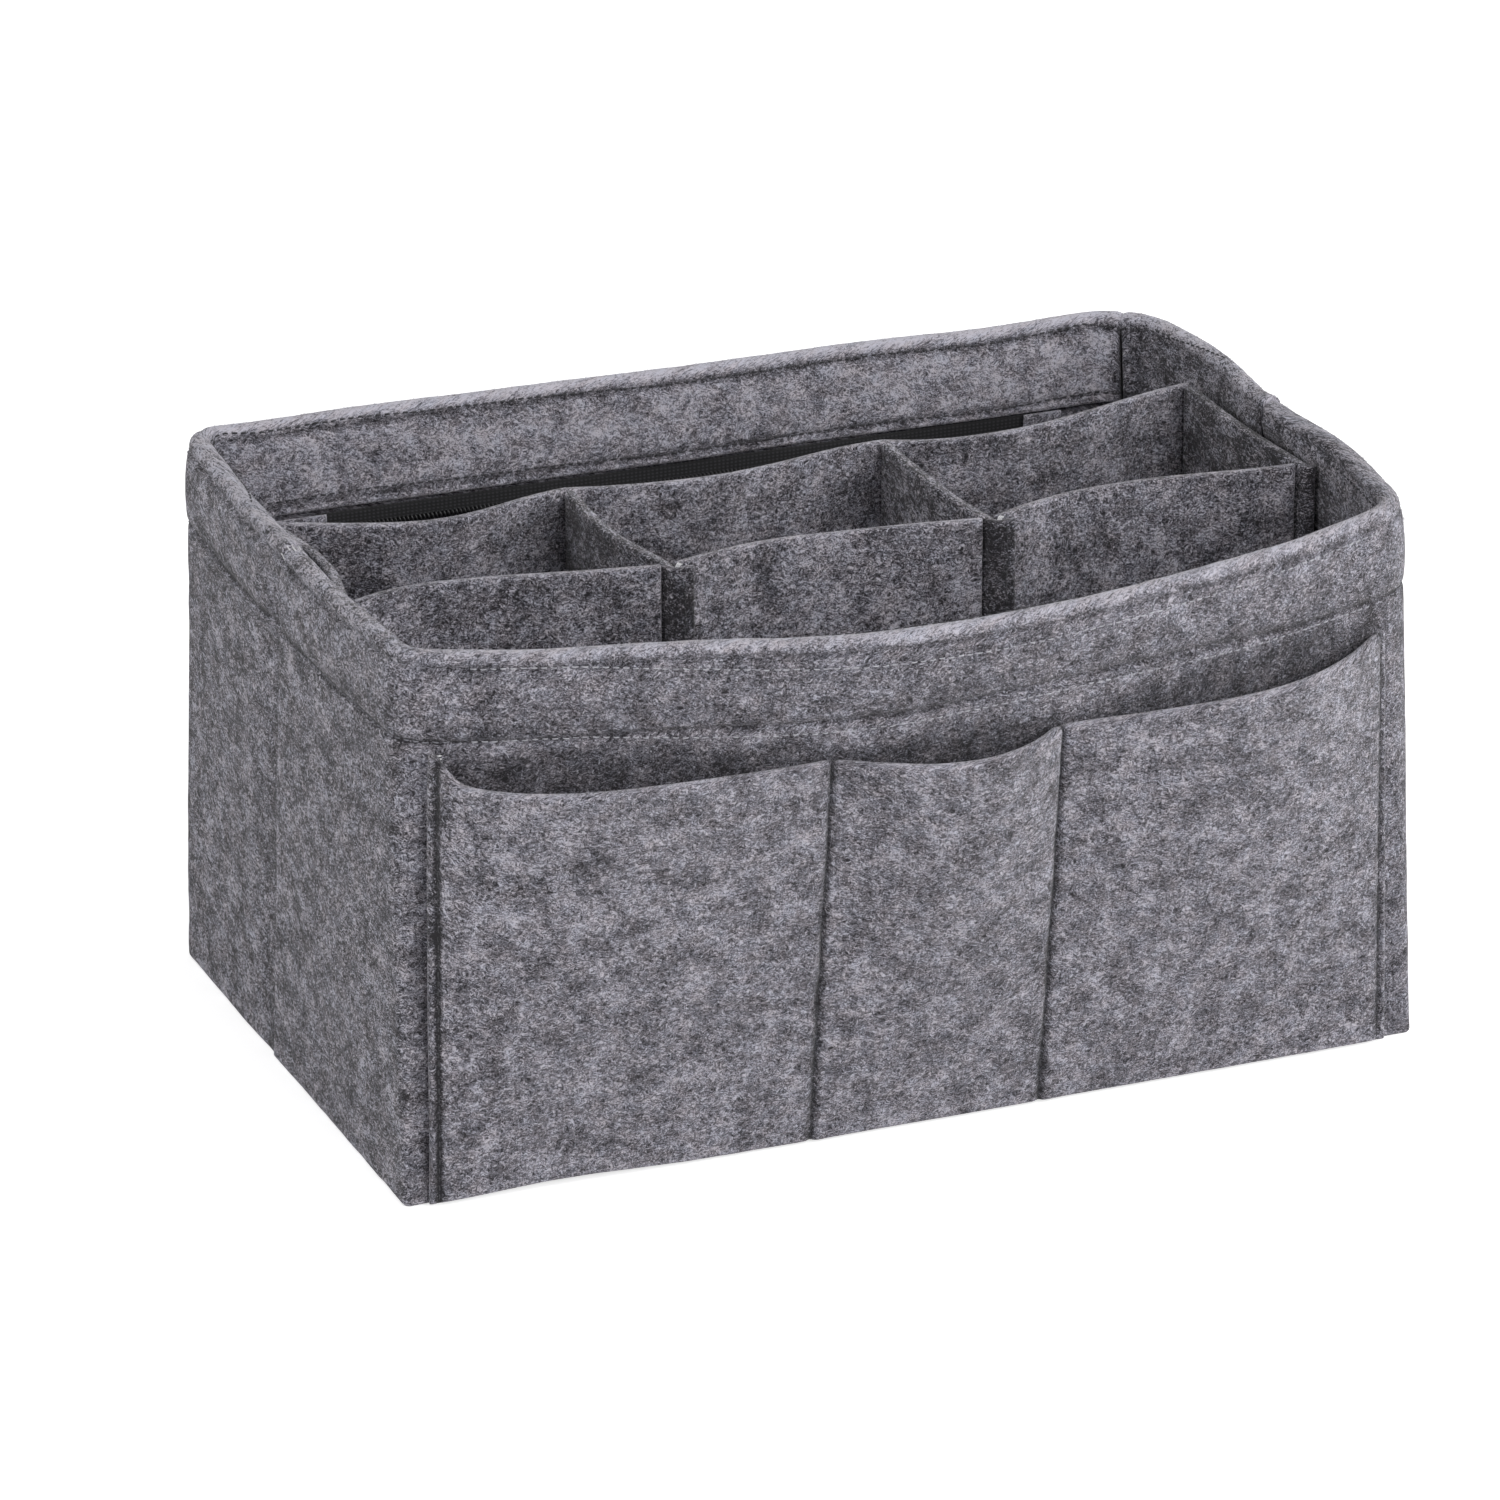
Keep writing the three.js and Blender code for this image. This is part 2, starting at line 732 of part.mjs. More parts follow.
// The rear panel is one strip that covers the edges of both end walls
function dividerRearPanel() {
  const joints = dividerRear.map(([x, y]) => [x, y]);
  joints[0][0] -= halfFelt;
  joints[joints.length - 1][0] += halfFelt;
  const count = rearSags.length;
  const steps = range(stretchSteps * count).map((share) => share * count);
  return sheetSolid(bowedPath(joints, rearSags, rearPeakShares), steps);
}

// A front panel spans one cell, between the cross walls on either side of it
function dividerFrontPanel(cell) {
  const [x0, y0] = dividerFront[cell];
  const [x1, y1] = dividerFront[cell + 1];
  const joints = [[x0 + butt, y0], [x1 - butt, y1]];
  const path = bowedPath(joints, [frontSags[cell]], [frontPeakShares[cell]]);
  return sheetSolid(path, range(panelSteps));
}

// A cross wall runs from the rear panel to the front, where it turns to the right into a
// flange that is sewn over the next front panel
function dividerCrossWall(joint) {
  const hasFlange = flangeLengths[joint] > 0;
  const [rearX, rearY] = dividerRear[joint];
  const [frontX, frontY] = dividerFront[joint];
  const isEnd = joint === 0 || joint === dividerRear.length - 1;
  const start = new THREE.Vector2(rearX, rearY - halfFelt - (isEnd ? endJointGap : jointGap));
  const sideGap = hasFlange ? felt + seamGap : -halfFelt;
  const end = new THREE.Vector2(frontX, frontY - sideGap);
  const radius = halfFelt + seamGap;
  const straight = hasFlange ? end.clone().add(new THREE.Vector2(0, radius)) : end;
  const down = straight.clone().sub(start).normalize();
  const placeAt = (step, bowShare) => {
    if (step <= 1) {
      const bow = webBows[joint] * Math.sin(Math.PI * step) ** sagPowerShare * bowShare;
      const side = new THREE.Vector2(-down.y, down.x).multiplyScalar(bow);
      return { point: start.clone().lerp(straight, step).add(side), angle: -Math.PI / 2 };
    }
    const angle = -Math.PI / 2 * Math.max(0, 2 - step);
    const centre = straight.clone().add(new THREE.Vector2(radius, 0));
    if (step <= 2) {
      const turn = Math.PI + (step - 1) * Math.PI / 2;
      const arc = new THREE.Vector2(Math.cos(turn), Math.sin(turn)).multiplyScalar(radius);
      return { point: centre.add(arc), angle };
    }
    const reach = (step - 2) * (flangeLengths[joint] - radius);
    return { point: centre.add(new THREE.Vector2(reach, -radius)), angle: 0 };
  };
  const pathAt = (step, bowShare) => {
    const { point, angle } = placeAt(step, bowShare);
    return { point, normal: new THREE.Vector2(-Math.sin(angle), Math.cos(angle)) };
  };
  const webSteps = range(panelSteps);
  const bend = [1 + 1 / 3, 1 + 2 / 3, 2, 3];
  return sheetSolid(pathAt, hasFlange ? [...webSteps, ...bend] : webSteps);
}

// Materials
const feltGrey = { color: 0x5f5f63, roughness: 0.95, metalness: 0 };
const liningGrey = { color: 0x57575b, roughness: 0.95, metalness: 0 };
const tapeBlack = { color: 0x1b1b1e, roughness: 0.85, metalness: 0 };
const coilBlack = { color: 0x141416, roughness: 0.5, metalness: 0 };
const sliderMetal = { color: 0x2a2a2e, roughness: 0.35, metalness: 0.8 };

const organizer = new THREE.Group();
organizer.name = 'purse_organizer_insert';

function addPiece(parent, name, geometry, finish) {
  const piece = new THREE.Mesh(geometry, new THREE.MeshStandardMaterial(finish));
  piece.name = name;
  parent.add(piece);
}

const shell = new THREE.Group();
addPiece(shell, 'front_wall', frontWall(), feltGrey);
addPiece(shell, 'rear_wall', rearWall(), feltGrey);
addPiece(shell, 'base_panel', basePanel(), feltGrey);
addPiece(shell, 'front_pocket_panel', frontPocketPanel(), feltGrey);
addPiece(shell, 'zip_pocket_panel', zipPocketPanel(), liningGrey);
addPiece(shell, 'zip_tape_upper', zipTape(1, tapeUpper), tapeBlack);
addPiece(shell, 'zip_tape_lower', zipTape(-1, tapeLower), tapeBlack);
addPiece(shell, 'zip_coil_upper', zipCoil(1), coilBlack);
addPiece(shell, 'zip_coil_lower', zipCoil(-1), coilBlack);
addPiece(shell, 'zip_stop_left', zipStop(zipStart), coilBlack);
addPiece(shell, 'zip_stop_right', zipStop(zipEnd - stopLength), coilBlack);
addPiece(shell, 'zip_slider', zipSlider(), sliderMetal);
addPiece(shell, 'zip_pull', zipPull(), sliderMetal);
organizer.add(shell);

const divider = new THREE.Group();
addPiece(divider, 'divider_rear_panel', dividerRearPanel(), feltGrey);
addPiece(divider, 'divider_left_end', dividerCrossWall(0), feltGrey);
addPiece(divider, 'divider_cross_wall_left', dividerCrossWall(1), feltGrey);
addPiece(divider, 'divider_cross_wall_right', dividerCrossWall(2), feltGrey);
addPiece(divider, 'divider_right_end', dividerCrossWall(3), feltGrey);
addPiece(divider, 'divider_front_panel_left', dividerFrontPanel(0), feltGrey);
addPiece(divider, 'divider_front_panel_middle', dividerFrontPanel(1), feltGrey);
addPiece(divider, 'divider_front_panel_right', dividerFrontPanel(2), feltGrey);
organizer.add(divider);

export default organizer;
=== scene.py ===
"""Felt purse organizer insert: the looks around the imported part.

Lengths in this script are millimetres in the part's frame, and MM turns them into metres.
The felt pieces follow the same formulas as the part's own solids, with finer detail: soft
cut edges, lumps, quilted stitch lines, stitches, fuzz and a helical zip chain.
"""
import itertools
import math

import bpy
import numpy as np
from mathutils import Matrix, Vector


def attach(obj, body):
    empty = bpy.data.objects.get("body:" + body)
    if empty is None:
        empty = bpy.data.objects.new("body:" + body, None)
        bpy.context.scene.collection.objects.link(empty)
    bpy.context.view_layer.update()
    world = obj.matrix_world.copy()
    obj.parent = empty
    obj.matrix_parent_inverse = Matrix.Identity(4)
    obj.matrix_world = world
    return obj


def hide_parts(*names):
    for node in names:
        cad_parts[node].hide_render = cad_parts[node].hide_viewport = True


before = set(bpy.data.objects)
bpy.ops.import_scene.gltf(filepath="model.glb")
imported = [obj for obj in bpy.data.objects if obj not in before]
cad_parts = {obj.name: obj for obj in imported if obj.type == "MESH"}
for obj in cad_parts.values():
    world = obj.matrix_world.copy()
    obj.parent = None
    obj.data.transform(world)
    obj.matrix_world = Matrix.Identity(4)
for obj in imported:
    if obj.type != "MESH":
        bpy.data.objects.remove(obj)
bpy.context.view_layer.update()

MM = 0.001

# The box, as in the part
BASE_LENGTH = 280
BASE_DEPTH = 170
WALL_HEIGHT = 150
FELT = 3
SEAM_GAP = 0.3
BASE_CORNER = 1.8
FOOT_SPREAD = 1.2
RIM_CORNERS = [9, 12, 20, 10]
RIM_SHIFTS = [-1.5, -3.5, -1.5, 1.2]
RIM_BOWS = [36, 2.6, 0, 2.6]
RIM_LOBES = [0, 2.6, 0, 0]
FRONT_LEAN = 8
HEM_HEIGHT = 26
HEM_EDGE = WALL_HEIGHT - HEM_HEIGHT
FOLD_RADIUS = FELT + SEAM_GAP / 2
SLIT_RIGHT_SHARE = 0.565
SLIT_LEFT_SHARE = 0.4
LAP_WIDTH = 9
LAP_FADE = 22
LAP_PRESS_SHARE = 0.3
LAP_BASE_SHARE = 0.59
LAP_LEFT_SHARE = 0.46
LAP_RIGHT_SHARE = 0.515
LAP_TUCK = FELT * (1 - LAP_PRESS_SHARE) + SEAM_GAP
LAP_EDGE_ROUND = 0.8
CORNER_SHARE = 0.2
HANDLE_SHARE = 0.39

# The front pockets, as in the part
POCKET_HEIGHT = 119
POCKET_FOOT = 1
POCKET_EDGES = [-134.5, -28.98, 34.02, 132]
POCKET_BULGES = [(15.5, 0.35), (12, 0.55), (12, 0.6)]
BULGE_POWER_SHARE = 1.3

# The zipped pocket, as in the part
LINING_LEFT = -120
LINING_RIGHT = 112
LINING_FOOT = 6
LINING_TOP = 123.6
LINING_Y = 78.5
LINING_FELT = 2
ZIP_MOUTH_LOW = 112.4
ZIP_START = -101
ZIP_END = 100.5
ZIP_HEIGHT = 117.2
TAPE_Y = 80.1
TAPE_THICKNESS = 0.6
TAPE_UPPER = 5.6
TAPE_LOWER = 13
COIL_Y = 78.75
COIL_DEPTH = 1.5
COIL_WIDTH = 2.2
CHAIN_GAP = 1.2
STOP_LENGTH = 3

# The divider, as in the part
DIVIDER_HEIGHT = 139
DIVIDER_FOOT = FELT + 0.3
DIVIDER_REAR = [(-131.6, 30.5), (-52.9, 27), (37.4, 28.5), (129.9, 38.5)]
DIVIDER_FRONT = [(-133.2, -28.6), (-49.1, -34.6), (40, -34.6), (131.8, -29.6)]
REAR_SAGS = [(-11.5, 0.52), (-7.5, 0.42), (-9.5, 0.38)]
FRONT_SAGS = [(6.5, 0.35), (6, 0.4), (7.5, 0.38)]
WEB_BOWS = [3.4, -3, -2, -1]
FLANGE_LENGTHS = [0, 5.8, 6, 2.5]
FOOT_BOW_SHARE = 0.4
JOINT_GAP = 0.4
END_JOINT_GAP = 1.1
SAG_POWER_SHARE = 1.4

# Stitching
STITCH_PITCH = 2.5
STITCH_LENGTH = 1.9
THREAD_RADIUS = 0.17
INSIDE_THREAD_RADIUS = 0.23
UPPER_ROW = 146.3
LOWER_ROW = 126.6
FOOT_FINE = 4.4
ROW_PRESS_SHARE = 0.36
ROW_PRESS_WIDTH = 1.0

# How unevenly the felt lies
WANDER = 0.55
WANDER_SIZE = 46
RIM_WAVE = 0.5
RIM_WAVE_SIZE = 34
REAR_RIM_SWELLS = [(-70, 55, 1.1), (-135, 12, 0.8), (88, 30, -1.2)]
DENT_X = -75
DENT_WIDTH = 35
DENT_DEPTH = 3.6
DENT_LIFT = 1.1
FOOT_LIFT = 1.3
FOOT_LIFT_X = -100
FOOT_LIFT_WIDTH = 24
FOOT_LIFT_HEIGHT = 20
LUMP = 0.13
LUMP_SIZE = 6.5
GRIT = 0.05
GRIT_SIZE = 2.4
END_GRAIN_SHARE = 0.8
END_CONTRAST = 1.6
INSIDE_CONTRAST = 1.2
EDGE_ROUND = 1.3
EDGE_TONE = 0.14
PRESS_TONE = 0.4
EDGE_POWER_SHARE = 2.3

# The camera that the photograph was taken with
FRAME_PIXELS = 1500
FOCAL_PIXELS = 8000
SENSOR = 36
CAMERA_AZIMUTH = -22.32
CAMERA_ELEVATION = 22.37
CAMERA_RIGHT = -11.4
CAMERA_UP = 64.9
CAMERA_DISTANCE = 2133

FRONT = 0
RIGHT = 1
REAR = 2
LEFT = 3
SIGN_X = [-1, 1, 1, -1]
SIGN_Y = [-1, -1, 1, 1]


def lerp(a, b, share):
    return a + (b - a) * share


def smooth(share):
    share = np.clip(share, 0, 1)
    return share * share * (3 - 2 * share)


TINY = 1e-9
FLAT = np.array([1, 1, 0])
NOISE_CELLS = 32


def unit(vectors):
    return vectors / np.maximum(np.linalg.norm(vectors, axis=-1, keepdims=True), TINY)


def hump(distance, width):
    """1 at no distance, falling away smoothly over the width."""
    return np.exp(-((distance / width) ** 2))


def lattice_noise(points, size, seed):
    """Smooth noise from -1 to 1 whose features have the given size."""
    grid = np.random.default_rng(seed).uniform(-1, 1, (NOISE_CELLS,) * 3)
    scaled = np.asarray(points) / size
    cell = np.floor(scaled).astype(int)
    part = smooth(scaled - cell)
    total = np.zeros(scaled.shape[:-1])
    for corner in itertools.product((0, 1), repeat=3):
        index = (cell + np.array(corner)) % NOISE_CELLS
        weight = np.prod(np.where(corner, part, 1 - part), axis=-1)
        total += weight * grid[index[..., 0], index[..., 1], index[..., 2]]
    return total


# The box in plan. Shares and heights come as arrays of one shape

def plan_corner(index, h):
    spread = FOOT_SPREAD * (1 - h * np.abs(h))
    x = SIGN_X[index] * (BASE_LENGTH / 2 + spread) + RIM_SHIFTS[index] * h
    y = SIGN_Y[index] * (BASE_DEPTH / 2 + spread / 2)
    return np.stack([x, y], -1)


def side_point(side, share, h):
    start = plan_corner(side, h)
    run = plan_corner((side + 1) % 4, h) - start
    outward = unit(np.stack([run[..., 1], -run[..., 0]], -1))
    arch = 4 * share * (1 - share) * h
    bow = RIM_BOWS[side] * arch
    bow = bow + RIM_LOBES[side] * np.sin(2 * math.pi * share) ** 2 * h
    point = start + run * share[..., None] + outward * bow[..., None]
    if side == FRONT:
        point[..., 0] -= FRONT_LEAN * arch
    return point


def side_cuts(side, h):
    following = (side + 1) % 4
    length = np.linalg.norm(plan_corner(following, h) - plan_corner(side, h), axis=-1)
    first = lerp(BASE_CORNER, RIM_CORNERS[side], h) / length
    last = 1 - lerp(BASE_CORNER, RIM_CORNERS[following], h) / length
    return first, last


NUDGE_SHARE = 0.001


def corner_point(side, share, h):
    following = (side + 1) % 4
    cut_end = side_cuts(side, h)[1]
    cut_start = side_cuts(following, h)[0]
    a = side_point(side, cut_end, h)
    b = side_point(following, cut_start, h)
    reach = np.linalg.norm(b - a, axis=-1)[..., None] * HANDLE_SHARE
    p = a + unit(a - side_point(side, cut_end - NUDGE_SHARE, h)) * reach
    q = b + unit(b - side_point(following, cut_start + NUDGE_SHARE, h)) * reach
    t = share[..., None]
    u = 1 - t
    return u**3 * a + 3 * u * u * t * p + 3 * u * t * t * q + t**3 * b


def plan_point(s, h):
    """The outer face in plan: the whole part of s is the side, its last share the corner."""
    turn = np.mod(s, 4)
    point = np.zeros(turn.shape + (2,))
    for side in range(4):
        share = (turn - side) / (1 - CORNER_SHARE)
        on_side = (turn >= side) & (share <= 1)
        on_corner = (share > 1) & (turn < side + 1)
        if on_side.any():
            first, last = side_cuts(side, h[on_side])
            along = lerp(first, last, share[on_side])
            point[on_side] = side_point(side, along, h[on_side])
        if on_corner.any():
            along = (turn[on_corner] - side - 1 + CORNER_SHARE) / CORNER_SHARE
            point[on_corner] = corner_point(side, along, h[on_corner])
    return point


def on_wall(y, sign):
    """1 on the rear wall, or on the front wall for sign -1, fading out on the ends."""
    return smooth((sign * y - BASE_DEPTH / 4) / (BASE_DEPTH / 8))


def shell_point(s, depth, z):
    """A point at a depth inwards from the wall's outer face, where the wall really lies."""
    s, depth, z = np.broadcast_arrays(s, depth, z)
    h = z / WALL_HEIGHT
    nudge = 2 * NUDGE_SHARE
    run = unit(plan_point(s + nudge, h) - plan_point(s - nudge, h))
    plan = plan_point(s, h)
    x, y = plan[..., 0], plan[..., 1]
    place = np.stack([x, y, z], -1)
    rise = np.clip(h, 0, 1)
    stray = WANDER * np.sqrt(rise) * lattice_noise(place, WANDER_SIZE, seed=3)
    lift = RIM_WAVE * lattice_noise(place * FLAT, RIM_WAVE_SIZE, seed=4)
    for centre, width, height in REAR_RIM_SWELLS:
        lift = lift + height * on_wall(y, 1) * hump(x - centre, width)
    lift = lift * rise**4
    dent = on_wall(y, -1) * rise * hump(x - DENT_X, DENT_WIDTH)
    off_floor = on_wall(y, -1) * hump(x - FOOT_LIFT_X, FOOT_LIFT_WIDTH)
    off_floor = off_floor * hump(z, FOOT_LIFT_HEIGHT)
    lift = lift + DENT_LIFT * dent + FOOT_LIFT * off_floor
    inward = np.stack([-run[..., 1], run[..., 0]], -1)
    plan = plan + inward * (depth - stray + DENT_DEPTH * dent)[..., None]
    return np.stack([plan[..., 0], plan[..., 1], z + lift], -1)


def end_at(side, share):
    """The s of a place on an end wall, its share counted from the front."""
    along = share if side == RIGHT else 1 - share
    return side + along * (1 - CORNER_SHARE)


def lap_share_at(side, z):
    rim_share = LAP_RIGHT_SHARE if side == RIGHT else LAP_LEFT_SHARE
    return lerp(LAP_BASE_SHARE, rim_share, z / WALL_HEIGHT)


def side_at_x(side, x):
    """The s of an x on the front or rear side, at the base."""
    level = np.zeros(1)
    start = plan_corner(side, level)[0, 0]
    end = plan_corner((side + 1) % 4, level)[0, 0]
    first, last = (cut[0] for cut in side_cuts(side, level))
    share = ((x - start) / (end - start) - first) / (last - first)
    return side + share * (1 - CORNER_SHARE)


# Grid lines

EDGE_STEPS = [0.07, 0.25, 0.6, 1.1]


def marks(*stretches):
    """Positions from 0 through stretches, each given as its end and its step."""
    places = [0.0]
    for end, step in stretches:
        count = max(1, round((end - places[-1]) / step))
        places.extend(np.linspace(places[-1], end, count + 1)[1:])
    return np.array(places)


def spaced(length, step):
    """Positions along a length, closer together at both ends where an edge is rounded."""
    near = [0.0, *EDGE_STEPS]
    inner_start = near[-1] + EDGE_ROUND / 2
    inner = np.linspace(inner_start, length - inner_start,
                        max(2, round((length - 2 * inner_start) / step) + 1))
    far = [length - place for place in reversed(near)]
    return np.array([*near, *inner, *far])


# Meshes

PIECES = {}


def new_piece(name, points, faces, body, slot, finish, stands_for=()):
    """A piece from points in millimetres and faces that all have as many corners."""
    mesh = bpy.data.meshes.new(name)
    mesh.vertices.add(len(points))
    mesh.vertices.foreach_set("co", (points * MM).astype(np.float32).ravel())
    corners = faces.shape[1]
    mesh.loops.add(faces.size)
    mesh.loops.foreach_set("vertex_index", faces.astype(np.int32).ravel())
    mesh.polygons.add(len(faces))
    starts = np.arange(0, faces.size, corners, dtype=np.int32)
    mesh.polygons.foreach_set("loop_start", starts)
    mesh.polygons.foreach_set("use_smooth", np.ones(len(faces), bool))
    mesh.update(calc_edges=True)
    mesh.materials.append(finish)
    piece = bpy.data.objects.new(name, mesh)
    bpy.context.scene.collection.objects.link(piece)
    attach(piece, body)
    if stands_for:
        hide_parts(*stands_for)
    PIECES[name] = piece
    return piece


def lengths_along(grid, axis):
    """How far each grid point is along its line, measured over the grid."""
    steps = np.linalg.norm(np.diff(grid, axis=axis), axis=-1)
    total = np.cumsum(steps, axis=axis)
    start = np.zeros_like(np.take(total, [0], axis=axis))
    return np.concatenate([start, total], axis=axis)


def x_share(steps):
    """How far each step over a sheet runs in X, from 0 to 1."""
    return np.abs(steps[..., 0]) / np.maximum(np.linalg.norm(steps, axis=-1), TINY)


def grain_along(grid):
    """Lengths along the sheet for the grain, which is drawn out where the sheet runs in Y."""
    steps = np.diff(grid, axis=0)
    drawn = np.linalg.norm(steps, axis=-1) * lerp(END_GRAIN_SHARE, 1, x_share(steps))
    total = np.cumsum(drawn, axis=0)
    return np.concatenate([np.zeros_like(total[:1]), total])


def contrast_of(grid):
    """How strongly the grain shows: more where the sheet runs in Y."""
    return lerp(END_CONTRAST, 1, x_share(np.gradient(grid, axis=0)))


def edge_profile(distance, reach):
    share = 1 - np.clip(distance / reach, 0, 1)
    return np.maximum(1 - share**EDGE_POWER_SHARE, 0) ** (1 / EDGE_POWER_SHARE)


def line_at(at, places, *grids):
    """A line over each grid, where the places on its lines reach the value at."""
    at = np.broadcast_to(at, places.shape[:1])
    return [np.array([[np.interp(here, row, line[:, k]) for k in range(3)]
                      for here, row, line in zip(at, places, grid)]) for grid in grids]


SEED_SHIFT = np.array([31.0, 17.0, 53.0])


class Felt:
    """A sheet of felt from the grid of its middle: two faces that meet in soft cut edges."""

    def __init__(self, middle, thickness=FELT, press=0, seed=1, lump=LUMP, tone=0,
                 contrast=1, end_round=EDGE_ROUND, side_round=EDGE_ROUND):
        along = lengths_along(middle, 0)
        across = lengths_along(middle, 1)
        normal = unit(np.cross(np.gradient(middle, axis=0), np.gradient(middle, axis=1)))
        profile = edge_profile(along, end_round) * edge_profile(along[-1:] - along, end_round)
        profile *= edge_profile(across, side_round)
        profile *= edge_profile(across[:, -1:] - across, side_round)
        half = thickness / 2 * profile * (1 - press)
        faces = []
        for sign in (1, -1):
            face = middle + normal * (sign * half)[..., None]
            bump = lump * lattice_noise(face, LUMP_SIZE, seed)
            bump += GRIT * lattice_noise(face, GRIT_SIZE, seed + 1)
            face = face + normal * (sign * bump * profile)[..., None]
            face[..., 2] = np.maximum(face[..., 2], 0)
            faces.append(face)
        self.outer, self.inner = faces
        # The tone adds lighter cut edges and darker pressed felt to the painted light and shade
        # that each piece passes in.
        self.tone = EDGE_TONE * (1 - profile) - PRESS_TONE * np.abs(press) + tone
        self.contrast = contrast * contrast_of(middle)
        self.normal = normal
        self.along, self.across = along, across
        self.half = half
        self.seed = seed

    def piece(self, name, body, stands_for=(), slot="felt", finish=None):
        n, m = self.along.shape
        outer = np.arange(n * m).reshape(n, m)
        inner = outer.copy()
        inner[1:-1, 1:-1] = n * m + np.arange((n - 2) * (m - 2)).reshape(n - 2, m - 2)
        points = np.concatenate([self.outer.reshape(-1, 3),
                                 self.inner[1:-1, 1:-1].reshape(-1, 3)])
        faces = np.concatenate([quads_of(outer), quads_of(inner)[:, ::-1]])
        made = new_piece(name, points, faces, body, slot, finish or felt_grey, stands_for)
        grain, under = (
            np.stack([grain_along(face), lengths_along(face, 1), side * self.half], -1)
            for face, side in ((self.outer, 1), (self.inner, -1)))
        grain = np.concatenate([grain.reshape(-1, 3), under[1:-1, 1:-1].reshape(-1, 3)])
        grain += SEED_SHIFT * self.seed
        layer = made.data.attributes.new("grain", "FLOAT_VECTOR", "POINT")
        layer.data.foreach_set("vector", grain.astype(np.float32).ravel())
        for label, grid in (("tone", self.tone), ("contrast", self.contrast)):
            values = np.concatenate([grid.ravel(), grid[1:-1, 1:-1].ravel()])
            layer = made.data.attributes.new(label, "FLOAT", "POINT")
            layer.data.foreach_set("value", values.astype(np.float32))
        return made

    def row(self, across):
        """The line on the outer face at a distance across the sheet, and its normals."""
        return line_at(across, self.across, self.outer, self.normal)

    def column(self, along):
        """The line on the outer face at a distance along the sheet, and its normals."""
        turned_grids = [grid.transpose(1, 0, 2) for grid in (self.outer, self.normal)]
        return line_at(along, self.along.T, *turned_grids)


def quads_of(index):
    return np.stack([index[:-1, :-1], index[1:, :-1], index[1:, 1:], index[:-1, 1:]],
                    -1).reshape(-1, 4)


# Threads: each stitch is a short closed tube that dives into the felt at both ends

STITCH_RINGS = [(0, -0.3, 0.55), (0.16, 0.02, 0.9), (0.38, 0.13, 1), (0.62, 0.13, 1),
                (0.84, 0.02, 0.9), (1, -0.3, 0.55)]
STITCH_SIDES = 6
STITCH_INSET = 1.5
STITCH_STRAY = 0.12
STITCH_SWAY = 0.09
STITCH_WIDE_SHARE = 1.15
STITCH_HIGH_SHARE = 0.9
STITCH_LOOK = 0.2


def tube_faces(tubes, rings, sides):
    """Faces of closed tubes whose rings of points follow each other."""
    base = np.arange(tubes)[:, None, None] * rings * sides
    ring = np.arange(rings - 1)[None, :, None] * sides
    around = np.arange(sides)[None, None, :]
    after = (around + 1) % sides
    a = base + ring + around
    b = base + ring + after
    wall = np.stack([a, a + sides, b + sides, b], -1).reshape(-1, 4)
    first = np.arange(tubes)[:, None] * rings * sides
    last = first + (rings - 1) * sides
    caps = [np.stack([first + 0, first + i, first + i + 1, first + i + 2], -1)
            for i in range(1, sides - 2, 2)]
    caps += [np.stack([last + 0, last + i + 2, last + i + 1, last + i], -1)
             for i in range(1, sides - 2, 2)]
    return np.concatenate([wall, *[cap.reshape(-1, 4) for cap in caps]])


def rings_round(centre, side, up, size, sides=STITCH_SIDES):
    """A ring of points round each point of a line."""
    turn = np.arange(sides) * 2 * math.pi / sides
    ring = side[..., None, :] * np.cos(turn)[:, None] + up[..., None, :] * np.sin(turn)[:, None]
    return centre[..., None, :] + ring * np.asarray(size)[..., None, None]


def stitch_row(name, line, body, finish, radius=THREAD_RADIUS, inset=STITCH_INSET):
    """A row of stitches along a line on a face, given as its path and normals."""
    path, normals = line
    places = lengths_along(path[:, None], 0)[:, 0]
    count = int((places[-1] - 2 * inset) / STITCH_PITCH)
    rng = np.random.default_rng(5)
    starts = inset + STITCH_PITCH * np.arange(count)
    starts = starts + rng.uniform(-STITCH_STRAY, STITCH_STRAY, count)
    sway = rng.normal(0, STITCH_SWAY, (count, 2))
    share, lift, size_share = np.array(STITCH_RINGS).T
    at = starts[:, None] + STITCH_LENGTH * share

    def sample(values, where):
        return np.stack([np.interp(where, places, values[:, k]) for k in range(3)], -1)

    up = unit(sample(normals, at))
    ahead = unit(sample(path, at + STITCH_LOOK) - sample(path, at - STITCH_LOOK))
    side = np.cross(ahead, up)
    centre = sample(path, at) + up * lift[:, None] * radius / THREAD_RADIUS
    centre = centre + side * lerp(sway[:, :1], sway[:, 1:], share)[..., None]
    points = rings_round(centre, side * STITCH_WIDE_SHARE, up * STITCH_HIGH_SHARE,
                         radius * size_share)
    faces = tube_faces(count, len(STITCH_RINGS), STITCH_SIDES)
    return new_piece(name, points.reshape(-1, 3), faces, body, "felt", finish)


STRAND_KNOTS = 10
STRAND_GUIDE = np.array([0.3, 0.2, 1.0])


